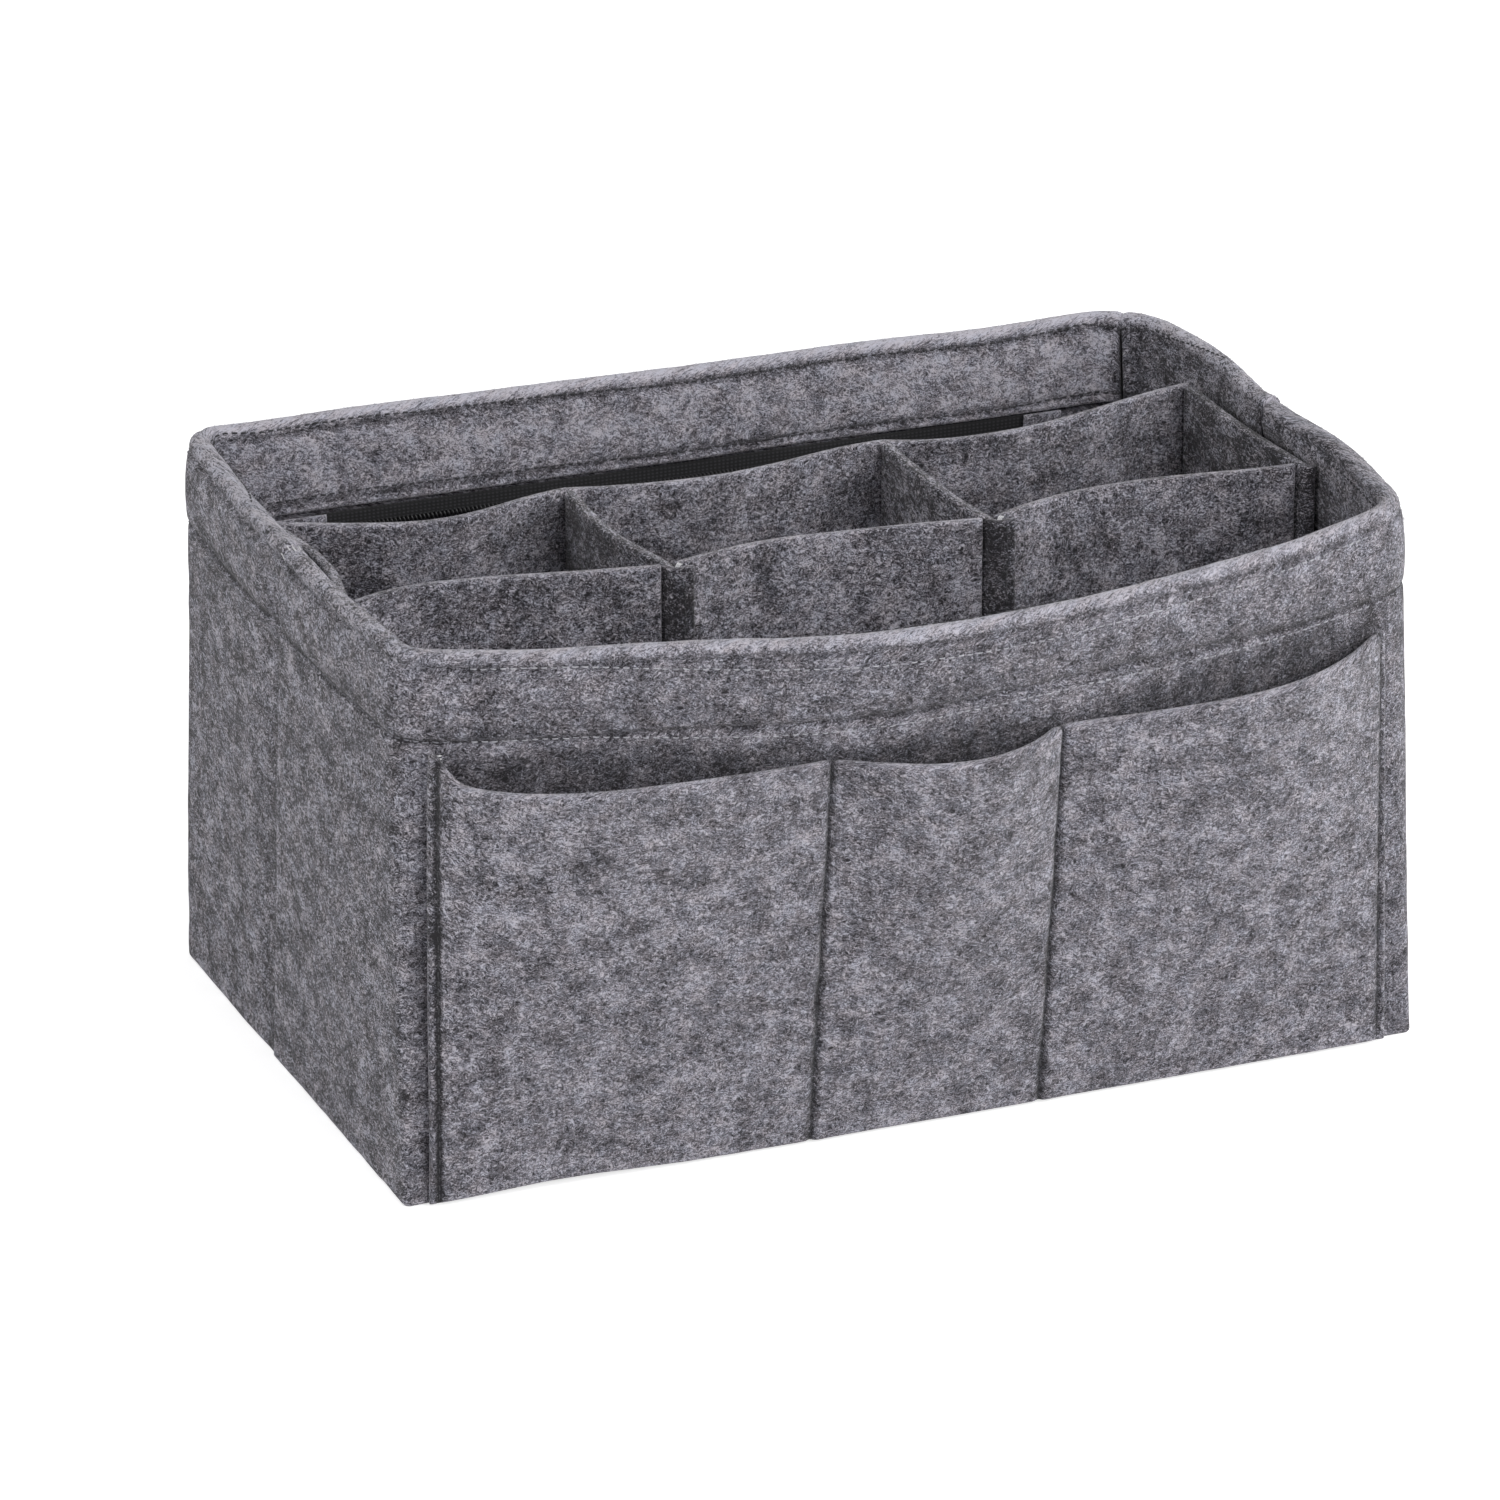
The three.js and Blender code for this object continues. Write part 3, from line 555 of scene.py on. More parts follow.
def threads(name, strands, body, finish, radius=THREAD_RADIUS):
    """Loose strands of thread, each through a few points, as closed tubes."""
    tubes = []
    for strand in strands:
        nodes = np.array(strand, float)
        places = lengths_along(nodes[:, None], 0)[:, 0]
        at = np.linspace(0, places[-1], STRAND_KNOTS)
        knots = np.stack([np.interp(at, places, nodes[:, k]) for k in range(3)], -1)
        for _ in range(2):
            knots[1:-1] = (knots[:-2] + 2 * knots[1:-1] + knots[2:]) / 4
        ahead = unit(np.gradient(knots, axis=0))
        side = unit(np.cross(ahead, STRAND_GUIDE))
        size = np.full(STRAND_KNOTS, radius)
        size[0] = size[-1] = radius / 2
        tubes.append(rings_round(knots, side, np.cross(side, ahead), size))
    faces = tube_faces(len(strands), STRAND_KNOTS, STITCH_SIDES)
    return new_piece(name, np.reshape(tubes, (-1, 3)), faces, body, "felt", finish)


FUZZ_RADIUS = 0.04
FUZZ_SHAPE = [(0, 1), (0.3, 0.9), (0.65, 0.75), (1, 0.35)]
FUZZ_SIDES = 4
FUZZ_STAND_SHARE = 0.25
FUZZ_SWAY_SHARE = 0.7
FUZZ_CURL_SHARE = 0.5
FUZZ_LENGTH_SHARES = (0.5, 1.3)
FUZZ_ROOT = 0.15
FUZZ_LOWEST = 0.2


def fuzz(name, felt, first, last, count, length, seed):
    """Loose fibres that stand off a sheet's outer face between two distances across it."""
    rng = np.random.default_rng(seed)
    grid = felt.outer
    across = felt.across[len(grid) // 2]
    along = felt.along[:, len(across) // 2]
    j = np.clip(np.searchsorted(across, rng.uniform(first, last, count)), 1, len(across) - 2)
    i = np.clip(np.searchsorted(along, rng.uniform(0, along[-1], count)), 1, len(along) - 2)
    forward = grid[i + 1, j] - grid[i, j]
    upward = grid[i, j + 1] - grid[i, j]
    start = grid[i, j] + forward * rng.uniform(0, 1, (count, 1))
    start = start + upward * rng.uniform(0, 1, (count, 1))
    stand = felt.normal[i, j] * rng.uniform(FUZZ_STAND_SHARE, 1, (count, 1))
    sway = unit(forward) * rng.normal(0, FUZZ_SWAY_SHARE, (count, 1))
    lean = unit(upward) * rng.normal(0, FUZZ_SWAY_SHARE, (count, 1))
    heading = unit(stand + sway + lean)[:, None]
    curl = unit(rng.normal(0, 1, (count, 3)))[:, None] * FUZZ_CURL_SHARE
    reach = length * rng.uniform(*FUZZ_LENGTH_SHARES, (count, 1, 1))
    share, size_share = np.array(FUZZ_SHAPE).T
    out = share[:, None]
    strand = (start - FUZZ_ROOT * stand)[:, None] + (heading * out + curl * out**2) * reach
    strand[..., 2] = np.maximum(strand[..., 2], FUZZ_LOWEST)
    ahead = unit(np.gradient(strand, axis=1))
    side = unit(np.cross(ahead, unit(rng.normal(0, 1, (count, 1, 3)))))
    points = rings_round(strand, side, np.cross(ahead, side), FUZZ_RADIUS * size_share,
                         FUZZ_SIDES)
    faces = tube_faces(count, len(FUZZ_SHAPE), FUZZ_SIDES)
    return new_piece(name, points.reshape(-1, 3), faces, "shell", "felt", fibre_grey)


# Materials

class Graph:
    """The node tree of a material or of the world, with a short way to add each node."""

    def __init__(self, owner):
        owner.use_nodes = True
        self.nodes = owner.node_tree.nodes
        self.links = owner.node_tree.links

    def fill(self, node, inputs):
        """Sets a node's inputs, each to a value or to the output of another node."""
        for name, value in inputs.items():
            if isinstance(value, bpy.types.NodeSocket):
                self.links.new(value, node.inputs[name])
            else:
                node.inputs[name].default_value = value

    def add(self, kind, inputs=None):
        node = self.nodes.new("ShaderNode" + kind)
        self.fill(node, inputs or {})
        return node

    def shade(self, inputs):
        self.fill(self.nodes["Principled BSDF"], inputs)

    def attribute(self, name, output):
        node = self.add("Attribute")
        node.attribute_name = name
        return node.outputs[output]

    def place(self):
        return self.add("TexCoord").outputs["Object"]

    def noise(self, vector, scale, detail, roughness=0.5, output="Fac"):
        return self.add("TexNoise", {"Vector": vector, "Scale": scale, "Detail": detail,
                                     "Roughness": roughness}).outputs[output]

    def wave(self, vector, scale, direction, distortion=0):
        node = self.add("TexWave", {"Vector": vector, "Scale": scale,
                                    "Distortion": distortion})
        node.bands_direction = direction
        return node.outputs["Fac"]

    def turned(self, vector, turn, size):
        """The vector turned about Z, then measured in the given sizes."""
        node = self.add("Mapping", {"Vector": vector, "Scale": size,
                                    "Rotation": (0, 0, math.radians(turn))})
        node.vector_type = "TEXTURE"
        return node.outputs["Vector"]

    def math(self, operation, *values):
        node = self.add("Math", dict(enumerate(values)))
        node.operation = operation
        return node.outputs["Value"]

    def vector(self, operation, *values):
        node = self.add("VectorMath", dict(enumerate(values)))
        node.operation = operation
        return node.outputs["Vector"]

    def mapped(self, value, ends):
        return self.add("MapRange", {"Value": value, **ends}).outputs["Result"]

    def ramp(self, value, stops, colours):
        node = self.add("ValToRGB", {"Fac": value})
        elements = node.color_ramp.elements
        while len(elements) < len(stops):
            elements.new(0.5)
        for element, stop, colour in zip(elements, stops, colours):
            element.position = stop
            element.color = (*colour, 1)
        return node.outputs["Color"]

    def bump(self, height, strength, depth):
        return self.add("Bump", {"Height": height, "Strength": strength,
                                 "Distance": depth * MM}).outputs["Normal"]

    def hairs(self, vector):
        """Thin winding lines, where a noise crosses its middle value."""
        away = self.math("SUBTRACT", self.noise(vector, *HAIR_NOISE), 0.5)
        return self.mapped(self.math("ABSOLUTE", away),
                           {"From Max": HAIR_WIDTH, "To Min": 1, "To Max": 0})

    def seen(self):
        """1 for what the camera sees, also in gloss and through glass."""
        ray = self.add("LightPath").outputs
        direct = self.math("ADD", ray["Is Camera Ray"], ray["Is Glossy Ray"])
        return self.math("ADD", direct, ray["Is Transmission Ray"])


BLOTCH_WEIGHT = 0.85
BLOTCH_NOISE = (0.13, 3, 0.6)
SPECK_WEIGHT = 0.9
SPECK_NOISE = (2.1, 2, 0.75)
WARP_SCALE = 0.4
WARP_REACH = (3, 3, 1)
FIBRE_WEIGHT = 0.88
FIBRE_NOISE = (1, 2, 0.6)
FIBRE_TURNS = [-38, -7, 24, 81]
FIBRE_SIZE = (2.1, 0.36, 0.6)
HAIR_WEIGHTS = [0.22, 0.16, -0.2]
HAIR_MEAN_SHARE = 0.25
HAIR_TURNS = [-22, 14, 66]
HAIR_SIZE = (3, 0.6, 0.8)
HAIR_WIDTH = 0.045
HAIR_NOISE = (1, 1, 0.45)
TINT_NOISE = (0.22, 4, 0.65)
TINT_STOPS = (0.34, 0.66)
WARM_TINT = (1, 0.955, 0.94)
COOL_TINT = (0.94, 0.96, 1)
FELT_STOPS = (0.1, 0.5, 0.9)
FELT_BUMP = 0.3


def felt_material(name, dark, middle, light):
    """Needled felt: tangled light and dark fibres in patches, with a soft nap."""
    made = bpy.data.materials.new(name)
    graph = Graph(made)
    flat = graph.attribute("grain", "Vector")
    warp = graph.noise(flat, WARP_SCALE, 2, output="Color")
    warped = graph.vector("MULTIPLY_ADD", warp, WARP_REACH, flat)
    value = graph.math("MULTIPLY_ADD", graph.noise(flat, *BLOTCH_NOISE),
                       BLOTCH_WEIGHT, 0.5 - BLOTCH_WEIGHT / 2)
    layers = [(graph.noise(flat, *SPECK_NOISE), SPECK_WEIGHT, 0.5)]
    for turn in FIBRE_TURNS:
        fibres = graph.noise(graph.turned(warped, turn, FIBRE_SIZE), *FIBRE_NOISE)
        layers.append((fibres, FIBRE_WEIGHT, 0.5))
    for turn, weight in zip(HAIR_TURNS, HAIR_WEIGHTS):
        hairs = graph.hairs(graph.turned(warped, turn, HAIR_SIZE))
        layers.append((hairs, weight, HAIR_MEAN_SHARE))
    for layer, weight, mean in layers:
        value = graph.math("ADD", value,
                           graph.math("MULTIPLY_ADD", layer, weight, -mean * weight))
    scaled = graph.math("MULTIPLY_ADD", graph.math("SUBTRACT", value, 0.5),
                        graph.attribute("contrast", "Fac"), 0.5)
    # The tone attribute carries each piece's painted light and shade.
    shaded = graph.math("ADD", scaled, graph.attribute("tone", "Fac"))
    colour = graph.ramp(shaded, FELT_STOPS, (dark, middle, light))
    tint = graph.ramp(graph.noise(flat, *TINT_NOISE), TINT_STOPS, (WARM_TINT, COOL_TINT))
    graph.shade({"Base Color": graph.vector("MULTIPLY", colour, tint), "Roughness": 0.95,
                 "Specular IOR Level": 0.15, "Sheen Weight": 0.2, "Sheen Roughness": 0.5,
                 "Normal": graph.bump(value, 0.5, FELT_BUMP)})
    return made


THREAD_BLOTCH_SCALE = 700
THREAD_TWIST_SCALE = 900
THREAD_BUMP = 0.05
THREAD_STOPS = (0.35, 0.65)


def thread_material(name, colour, shade):
    """Twisted thread, a little uneven in colour."""
    made = bpy.data.materials.new(name)
    graph = Graph(made)
    place = graph.place()
    tone = graph.noise(place, THREAD_BLOTCH_SCALE, 2)
    twist = graph.wave(place, THREAD_TWIST_SCALE, "DIAGONAL")
    graph.shade({"Base Color": graph.ramp(tone, THREAD_STOPS, (shade, colour)),
                 "Roughness": 0.7, "Normal": graph.bump(twist, 0.5, THREAD_BUMP)})
    return made


RIB_SCALES = {"X": 260, "Z": 330}
RIB_DISTORTION = 0.6
RIB_BUMP = 0.15
RIB_STOPS = (0.1, 0.8)
TAPE_DARK = (0.006, 0.006, 0.007)
TAPE_LIGHT = (0.028, 0.028, 0.032)


def tape_material(name):
    """Black tape woven in fine ribs."""
    made = bpy.data.materials.new(name)
    graph = Graph(made)
    place = graph.place()
    ribs = [graph.wave(place, scale, direction, RIB_DISTORTION)
            for direction, scale in RIB_SCALES.items()]
    weave = graph.math("MULTIPLY", *ribs)
    graph.shade({"Base Color": graph.ramp(weave, RIB_STOPS, (TAPE_DARK, TAPE_LIGHT)),
                 "Roughness": 0.8, "Normal": graph.bump(weave, 0.7, RIB_BUMP)})
    return made


GLOSS_BLOTCH_SCALE = 450
GLOSS_PALE_SHARE = 1.5
GLOSS_STOPS = (0.35, 0.7)


def gloss_material(name, colour, roughness, metallic):
    """Moulded or painted black with faint unevenness."""
    made = bpy.data.materials.new(name)
    graph = Graph(made)
    tone = graph.noise(graph.place(), GLOSS_BLOTCH_SCALE, 3)
    pale = tuple(GLOSS_PALE_SHARE * part for part in colour)
    uneven = graph.mapped(tone, {"To Min": roughness - 0.06, "To Max": roughness + 0.1})
    graph.shade({"Base Color": graph.ramp(tone, GLOSS_STOPS, (colour, pale)),
                 "Roughness": uneven, "Metallic": metallic})
    return made


FELT_DARK = (0.02, 0.019, 0.022)
FELT_MIDDLE = (0.17, 0.165, 0.188)
FELT_LIGHT = (0.55, 0.54, 0.6)
felt_grey = felt_material("felt_grey", FELT_DARK, FELT_MIDDLE, FELT_LIGHT)
thread_grey = thread_material("thread_grey", (0.24, 0.24, 0.27), (0.13, 0.13, 0.15))
thread_light = thread_material("thread_light", (0.5, 0.5, 0.54), (0.28, 0.28, 0.31))
# A darker copy of the grey thread: painted shade for threads sunk in the inside rows, the
# pocket seams and the divider's flanges.
thread_shaded = thread_material("thread_shaded", (0.05, 0.05, 0.056), (0.02, 0.02, 0.023))
thread_pale = thread_material("thread_pale", (0.75, 0.75, 0.76), (0.5, 0.5, 0.52))
fibre_grey = thread_material("fibre_grey", (0.5, 0.49, 0.54), (0.16, 0.155, 0.175))
tape_black = tape_material("zip_tape_black")
coil_black = gloss_material("zip_coil_black", (0.012, 0.012, 0.013), 0.42, 0)
slider_black = gloss_material("zip_slider_black", (0.02, 0.02, 0.022), 0.34, 0.75)


# The two wall strips

FOLD_START = WALL_HEIGHT - FOLD_RADIUS
FOLD_MIDDLE = (FOLD_RADIUS + SEAM_GAP / 2) / 2
FLAP_START = FOLD_START + math.pi * FOLD_MIDDLE
STRIP_WIDTH = FLAP_START + FOLD_START - HEM_EDGE
UPPER_ROW_IN = FLAP_START + FOLD_START - UPPER_ROW
LOWER_ROW_IN = FLAP_START + FOLD_START - LOWER_ROW


STRIP_STEPS = [0.6, 3, 0.55, 2.6, 0.5, 0.42, 0.5, 2.6, 0.5]
ROW_RISE = 3
ROW_RISE_X = 38
ROW_RISE_WIDTH = 50


def strip_lines():
    """Positions across a strip, from its foot over the fold to the hem's cut edge."""
    rows = ROW_PRESS_WIDTH * 2
    ends = [FOOT_FINE, LOWER_ROW - rows, LOWER_ROW + ROW_RISE + rows, UPPER_ROW - rows,
            FOLD_START, FLAP_START, UPPER_ROW_IN + rows, LOWER_ROW_IN - rows,
            STRIP_WIDTH - EDGE_ROUND]
    edge = [(place, place) for place in EDGE_STEPS]
    far = [STRIP_WIDTH - place for place in reversed([0, *EDGE_STEPS])]
    return np.array([*marks(*edge, *zip(ends, STRIP_STEPS)), *far])


def hem_section(t):
    """Depth and height of the strip's middle at positions across it."""
    turn = np.clip((t - FOLD_START) / FOLD_MIDDLE, 0, math.pi)
    depth = FOLD_RADIUS - FOLD_MIDDLE * np.cos(turn)
    z = np.where(t < FOLD_START, t, FOLD_START + FOLD_MIDDLE * np.sin(turn))
    return depth, np.where(t > FLAP_START, FOLD_START - (t - FLAP_START), z)


def front_row_rise(level):
    """How much higher the outer lower row runs near the middle of the front wall."""
    across = hump(level[..., 0] - ROW_RISE_X, ROW_RISE_WIDTH)
    return ROW_RISE * across * on_wall(level[..., 1], -1)


def row_press(t, rows):
    """How much a sheet is squeezed near its stitch rows."""
    return ROW_PRESS_SHARE * sum(hump(t - row, ROW_PRESS_WIDTH) for row in rows)


def pocket_top(x):
    share = (x + BASE_LENGTH / 2) / BASE_LENGTH
    slope = 4 * share * (1 - share) * RIM_BOWS[FRONT] / WALL_HEIGHT
    return POCKET_HEIGHT / np.hypot(1, slope)


END_TONE_START = 126
END_TONE_FADE = 8
HEM_FLARE = 0.42
HEM_FLARE_SIZE = 30
HEM_FADE = 12
HEM_SWELL = 0.7
HEM_SHADE = 0.09
# Lighter rim crest: partly the paler fuzz of the fold, partly a painted highlight where the top
# light falls.
CREST_FUZZ_AND_HIGHLIGHT = 0.24
REAR_CREST_FUZZ_AND_HIGHLIGHT = 0.42
# Painted light on the inner face of the hem, strongest at its top and on the right.
FLAP_PAINTED_LIGHT = 0.04
FLAP_TOP_PAINTED_LIGHT = 0.1
RIGHT_FLAP_PAINTED_LIGHT = 0.05
RIGHT_LIGHT_START = 20
RIGHT_LIGHT_FADE = 60
FOOT_PINCH_SHARE = 0.7
FOOT_PINCH_HEIGHT = 14
MIDDLE_PINCH_SHARE = 0.5
MIDDLE_PINCH_TOP = 110
MIDDLE_PINCH_FADE = 30
# Painted light along the foot, lifting the shade where the felt meets the floor.
FOOT_PAINTED_LIGHT = 0.14
FOOT_PAINTED_LIGHT_HEIGHT = 2.2
# Painted shade on the end walls: outside below the hem, and more on the inner face of the hem.
END_PAINTED_SHADE = -0.07
END_FLAP_PAINTED_SHADE = -0.24
# Painted shade on the end walls: a dark line along the hem's lower row, and a band just below
# it where the hem's step throws its shadow.
HEM_LINE_PAINTED_SHADE = 0.19
HEM_LINE_WIDTH = 0.7
UNDER_HEM_PAINTED_SHADE = 0.1
UNDER_HEM_SHADE_DROP = 3.7
MOUTH_SHADE_HEIGHT = 7
MOUTH_SHADE_HEIGHT_RIGHT = 13
# Painted shade beside the lap where the rear strip tucks under, with a dark line, and a painted
# highlight on the front strip's edge.
LAP_PAINTED_SHADE = -0.1
LAP_LINE_PAINTED_SHADE = -0.14
LAP_LINE_WIDTH = 1.2
LAP_EDGE_PAINTED_HIGHLIGHT = 0.09
LAP_EDGE_WIDTH = 3
MOUTH_TONE = -0.2
MOUTH_INSET = 2
MOUTH_BLEND = 3
FLAP_BLEND = 4
END_CREST_SHARE = 0.6
CORNER_ARC_SHARE = 1.6


def corner_arc(side):
    """Roughly how long the corner after a side is at the rim."""
    return CORNER_ARC_SHARE * RIM_CORNERS[(side + 1) % 4]


def slit_at(side, share):
    """A slit's place along the strip and how far along it a millimetre reaches."""
    return side + 1 - CORNER_SHARE * (1 - share), CORNER_SHARE / corner_arc(side)


RIGHT_SLIT = slit_at(RIGHT, SLIT_RIGHT_SHARE)
LEFT_SLIT = slit_at(REAR, SLIT_LEFT_SHARE)
SOFT_FOLD_OFF = 9
SOFT_FOLD = (RIGHT_SLIT[0] - SOFT_FOLD_OFF * RIGHT_SLIT[1], RIGHT_SLIT[1])
SLIT_STEPS = [0.2, 0.4, 0.65, 0.95, 1.4, 2.0]
SLIT_CLEAR = 2.4
SLIT_WIDTH = 0.55
# Painted shade in the hem's slits.
SLIT_PAINTED_SHADE = -0.35
NOTCH = 0.9
SOFT_FOLD_WIDTH = 1.4
SOFT_FOLD_PRESS_SHARE = 0.35
PRESS_MOST_SHARE = 0.92
BUTT_START = 136
BUTT_FADE = 10
RIM_STEP = 1.1
# Painted highlight on the cut end of the rear strip's tab.
TAB_EDGE_PAINTED_HIGHLIGHT = 0.12
TAB_EDGE_WIDTH = 1.6
TAB_SHADE = -0.26
TAB_FLARE = 0.6
TAB_START = FLAP_START + 8
TAB_REACH = 6
TAB_LENGTH = 3.5
TONGUE_END = HEM_EDGE - 1.6
TONGUE_FADE = 1.2


def valley(s, place, width):
    """1 at a place along the strip, falling to 0 over a width in millimetres."""
    where, per_mm = place
    return hump(s - where, per_mm * width)


def on_flap(t):
    return smooth((t - FLAP_START) / FLAP_BLEND)


def on_fold(t):
    return np.sin(math.pi * np.clip((t - FOLD_START) / (FLAP_START - FOLD_START), 0, 1))


def strip_painted_light(t, z, x, in_hem, crest):
    """The painted light and shade on a strip: a highlight on the fold's crest and on the inner
    hem, shade on the end walls, under the hem and along the lower row on the ends, and light
    along the foot.
    """
    at_end = smooth((np.abs(x) - END_TONE_START) / END_TONE_FADE)
    flap = on_flap(t)
    line = hump(t - LOWER_ROW, HEM_LINE_WIDTH)
    under_hem = hump(t - LOWER_ROW + UNDER_HEM_SHADE_DROP, 2 * HEM_LINE_WIDTH)
    flap_top = 1 - smooth((t - FLAP_START) / (STRIP_WIDTH - FLAP_START))
    on_right = smooth((x - RIGHT_LIGHT_START) / RIGHT_LIGHT_FADE) * (1 - at_end)
    inside = FLAP_PAINTED_LIGHT + END_FLAP_PAINTED_SHADE * at_end
    inside = inside + FLAP_TOP_PAINTED_LIGHT * flap_top + RIGHT_FLAP_PAINTED_LIGHT * on_right
    outside = END_PAINTED_SHADE * at_end * (1 - smooth(4 * in_hem))
    outside = outside - HEM_SHADE * (in_hem > 0) * (1 - in_hem)
    tone = crest * on_fold(t) * lerp(1, END_CREST_SHARE, at_end) + lerp(outside, inside, flap)
    tone = tone + FOOT_PAINTED_LIGHT * hump(z, FOOT_PAINTED_LIGHT_HEIGHT)
    return tone - at_end * (HEM_LINE_PAINTED_SHADE * line + UNDER_HEM_PAINTED_SHADE * under_hem)


def mouth_tone(t, z, level):
    """The shade on the front wall above the mouths of the pockets."""
    x = level[..., 0]
    from_left = smooth((x - POCKET_EDGES[0] - MOUTH_INSET) / MOUTH_BLEND)
    from_right = smooth((POCKET_EDGES[-1] - MOUTH_INSET - x) / MOUTH_BLEND)
    on_front = (level[..., 1] < -BASE_DEPTH / 2 + FELT) * (t < FOLD_START)
    reach = lerp(MOUTH_SHADE_HEIGHT, MOUTH_SHADE_HEIGHT_RIGHT, smooth(x / POCKET_EDGES[-1]))
    shade = smooth((pocket_top(x) + reach - z) / reach)
    return MOUTH_TONE * from_left * from_right * on_front * shade


def front_lap_painted_light(t, distance):
    # Painted highlight on the front strip's edge at the lap, and painted shade on its inner hem
    # beside the rear strip's tab.
    edge = LAP_EDGE_PAINTED_HIGHLIGHT * hump(distance, LAP_EDGE_WIDTH)
    return edge + TAB_SHADE * on_flap(t) * hump(distance, TAB_REACH)


def rear_lap_painted_light(t, distance, butted):
    # Painted shade on the rear strip beside and under the lap, and a painted highlight on the
    # tab's end.
    past_lap = distance - LAP_WIDTH
    line = LAP_LINE_PAINTED_SHADE * (1 - butted) * hump(past_lap - LAP_LINE_WIDTH, LAP_LINE_WIDTH)
    edge = TAB_EDGE_PAINTED_HIGHLIGHT * on_flap(t) * hump(past_lap + TAB_LENGTH, TAB_EDGE_WIDTH)
    return LAP_PAINTED_SHADE * hump(past_lap, LAP_WIDTH) + line + edge


def wall_strip(columns, t, tuck, seed):
    """A strip from its lines, each given as its s and its distance past the lap."""
    s, distance = (np.stack(values) for values in zip(*columns))
    depth, z = (np.broadcast_to(values, s.shape) for values in hem_section(t))
    t = np.broadcast_to(t, s.shape)
    level = shell_point(s, 0 * z, z) * FLAT
    flap = on_flap(t)
    in_hem = np.clip((z - LOWER_ROW) / (UPPER_ROW - LOWER_ROW), 0, 1)
    butted = smooth((z - BUTT_START) / BUTT_FADE)
    in_lap = (1 - smooth((distance - LAP_WIDTH) / LAP_FADE)) * (1 - butted)
    below_rim = 1 - smooth((z - MIDDLE_PINCH_TOP) / MIDDLE_PINCH_FADE)
    pinch = lerp(MIDDLE_PINCH_SHARE * below_rim, FOOT_PINCH_SHARE, hump(z, FOOT_PINCH_HEIGHT))
    thin = lerp(LAP_PRESS_SHARE, 1, pinch) * in_lap
    flare = HEM_FLARE * smooth((t - STRIP_WIDTH + HEM_FADE) / HEM_FADE)
    flare = flare * (1 + lattice_noise(level, HEM_FLARE_SIZE, seed=9))
    depth = depth * (1 - thin) + tuck * (1 - pinch) * in_lap + flare
    depth = depth - (1 - flap) * HEM_SWELL * np.sin(math.pi * in_hem)
    lower_row = LOWER_ROW + front_row_rise(level)
    press = row_press(t, [UPPER_ROW, lower_row, UPPER_ROW_IN, LOWER_ROW_IN])
    press = press + SOFT_FOLD_PRESS_SHARE * flap * valley(s, SOFT_FOLD, SOFT_FOLD_WIDTH)
    tone = strip_painted_light(t, z, level[..., 0], in_hem, REAR_CREST_FUZZ_AND_HIGHLIGHT if tuck else CREST_FUZZ_AND_HIGHLIGHT)
    for place in (RIGHT_SLIT, LEFT_SLIT):
        slit = flap * valley(s, place, SLIT_WIDTH)
        press = press + slit
        # Painted shade in the slit.
        tone = tone + SLIT_PAINTED_SHADE * slit
        z = z - NOTCH * on_fold(t) * valley(s, place, 2 * SLIT_WIDTH)
    if tuck:
        tab = hump(np.maximum(distance - LAP_WIDTH, 0), TAB_REACH)
        depth = depth + TAB_FLARE * tab * smooth((t - TAB_START) / HEM_FADE)
        z = z + RIM_STEP * tab * butted
        tone = tone + rear_lap_painted_light(t, distance, butted)
    else:
        tone = tone + front_lap_painted_light(t, distance) + mouth_tone(t, z, level)
    return Felt(shell_point(s, depth, z), FELT * (1 - thin),
                np.minimum(press, PRESS_MOST_SHARE), seed, tone=tone,
                end_round=LAP_EDGE_ROUND)


COLUMN_STEP = 1.25
FAR_AWAY = 1000


def upright(s, t):
    """A line across the strip at one s, far from the lap."""
    return s + 0 * t, FAR_AWAY + 0 * t


def finer_at_slit(columns, t, place):
    """Swaps the lines beside a slit for closer ones."""
    where, per_mm = place
    kept = [column for column in columns if abs(column[0][0] - where) > SLIT_CLEAR * per_mm]
    offsets = [-step for step in SLIT_STEPS] + [0] + SLIT_STEPS
    added = [upright(where + offset * per_mm, t) for offset in offsets]
    return sorted(kept + added, key=lambda column: column[0][0])


def side_columns(side, t):
    places = np.linspace(0, 1, round(BASE_LENGTH / COLUMN_STEP) + 1)
    return [upright(side + place * (1 - CORNER_SHARE), t) for place in places]


def corner_columns(side, t):
    places = np.linspace(0, 1, round(corner_arc(side) / COLUMN_STEP) + 1)[1:-1]
    return [upright(side + 1 - CORNER_SHARE * (1 - place), t) for place in places]


def lap_columns(side, t, from_front):
    """Lines of an end wall from the strip's own edge at the lap to the next corner."""
    lap = lap_share_at(side, hem_section(t)[1])
    tongue = LAP_WIDTH * (1 - smooth((t - TONGUE_END) / TONGUE_FADE))
    tab = TAB_LENGTH * smooth((t - TAB_START) / TAB_REACH)
    start = lap - np.maximum(tongue, tab) / BASE_DEPTH
    reach = BASE_DEPTH / 2
    columns = []
    for place in spaced(reach, COLUMN_STEP)[:-len(EDGE_STEPS)]:
        q = place / reach
        if from_front:
            share = lap * (1 - q)
            distance = lap * q * BASE_DEPTH
        else:
            share = lerp(start, 1, q)
            distance = (share - lap) * BASE_DEPTH + LAP_WIDTH
        columns.append((end_at(side, share), distance))
    return columns


def next_turn(columns):
    return [(s + 4, distance) for s, distance in columns]


def front_strip():
    t = strip_lines()
    columns = lap_columns(LEFT, t, True)
    columns += corner_columns(LEFT, t)
    columns += next_turn(side_columns(FRONT, t))
    columns += next_turn(corner_columns(FRONT, t))
    columns += next_turn(lap_columns(RIGHT, t, True)[::-1])
    return wall_strip(columns, t, 0, seed=11)


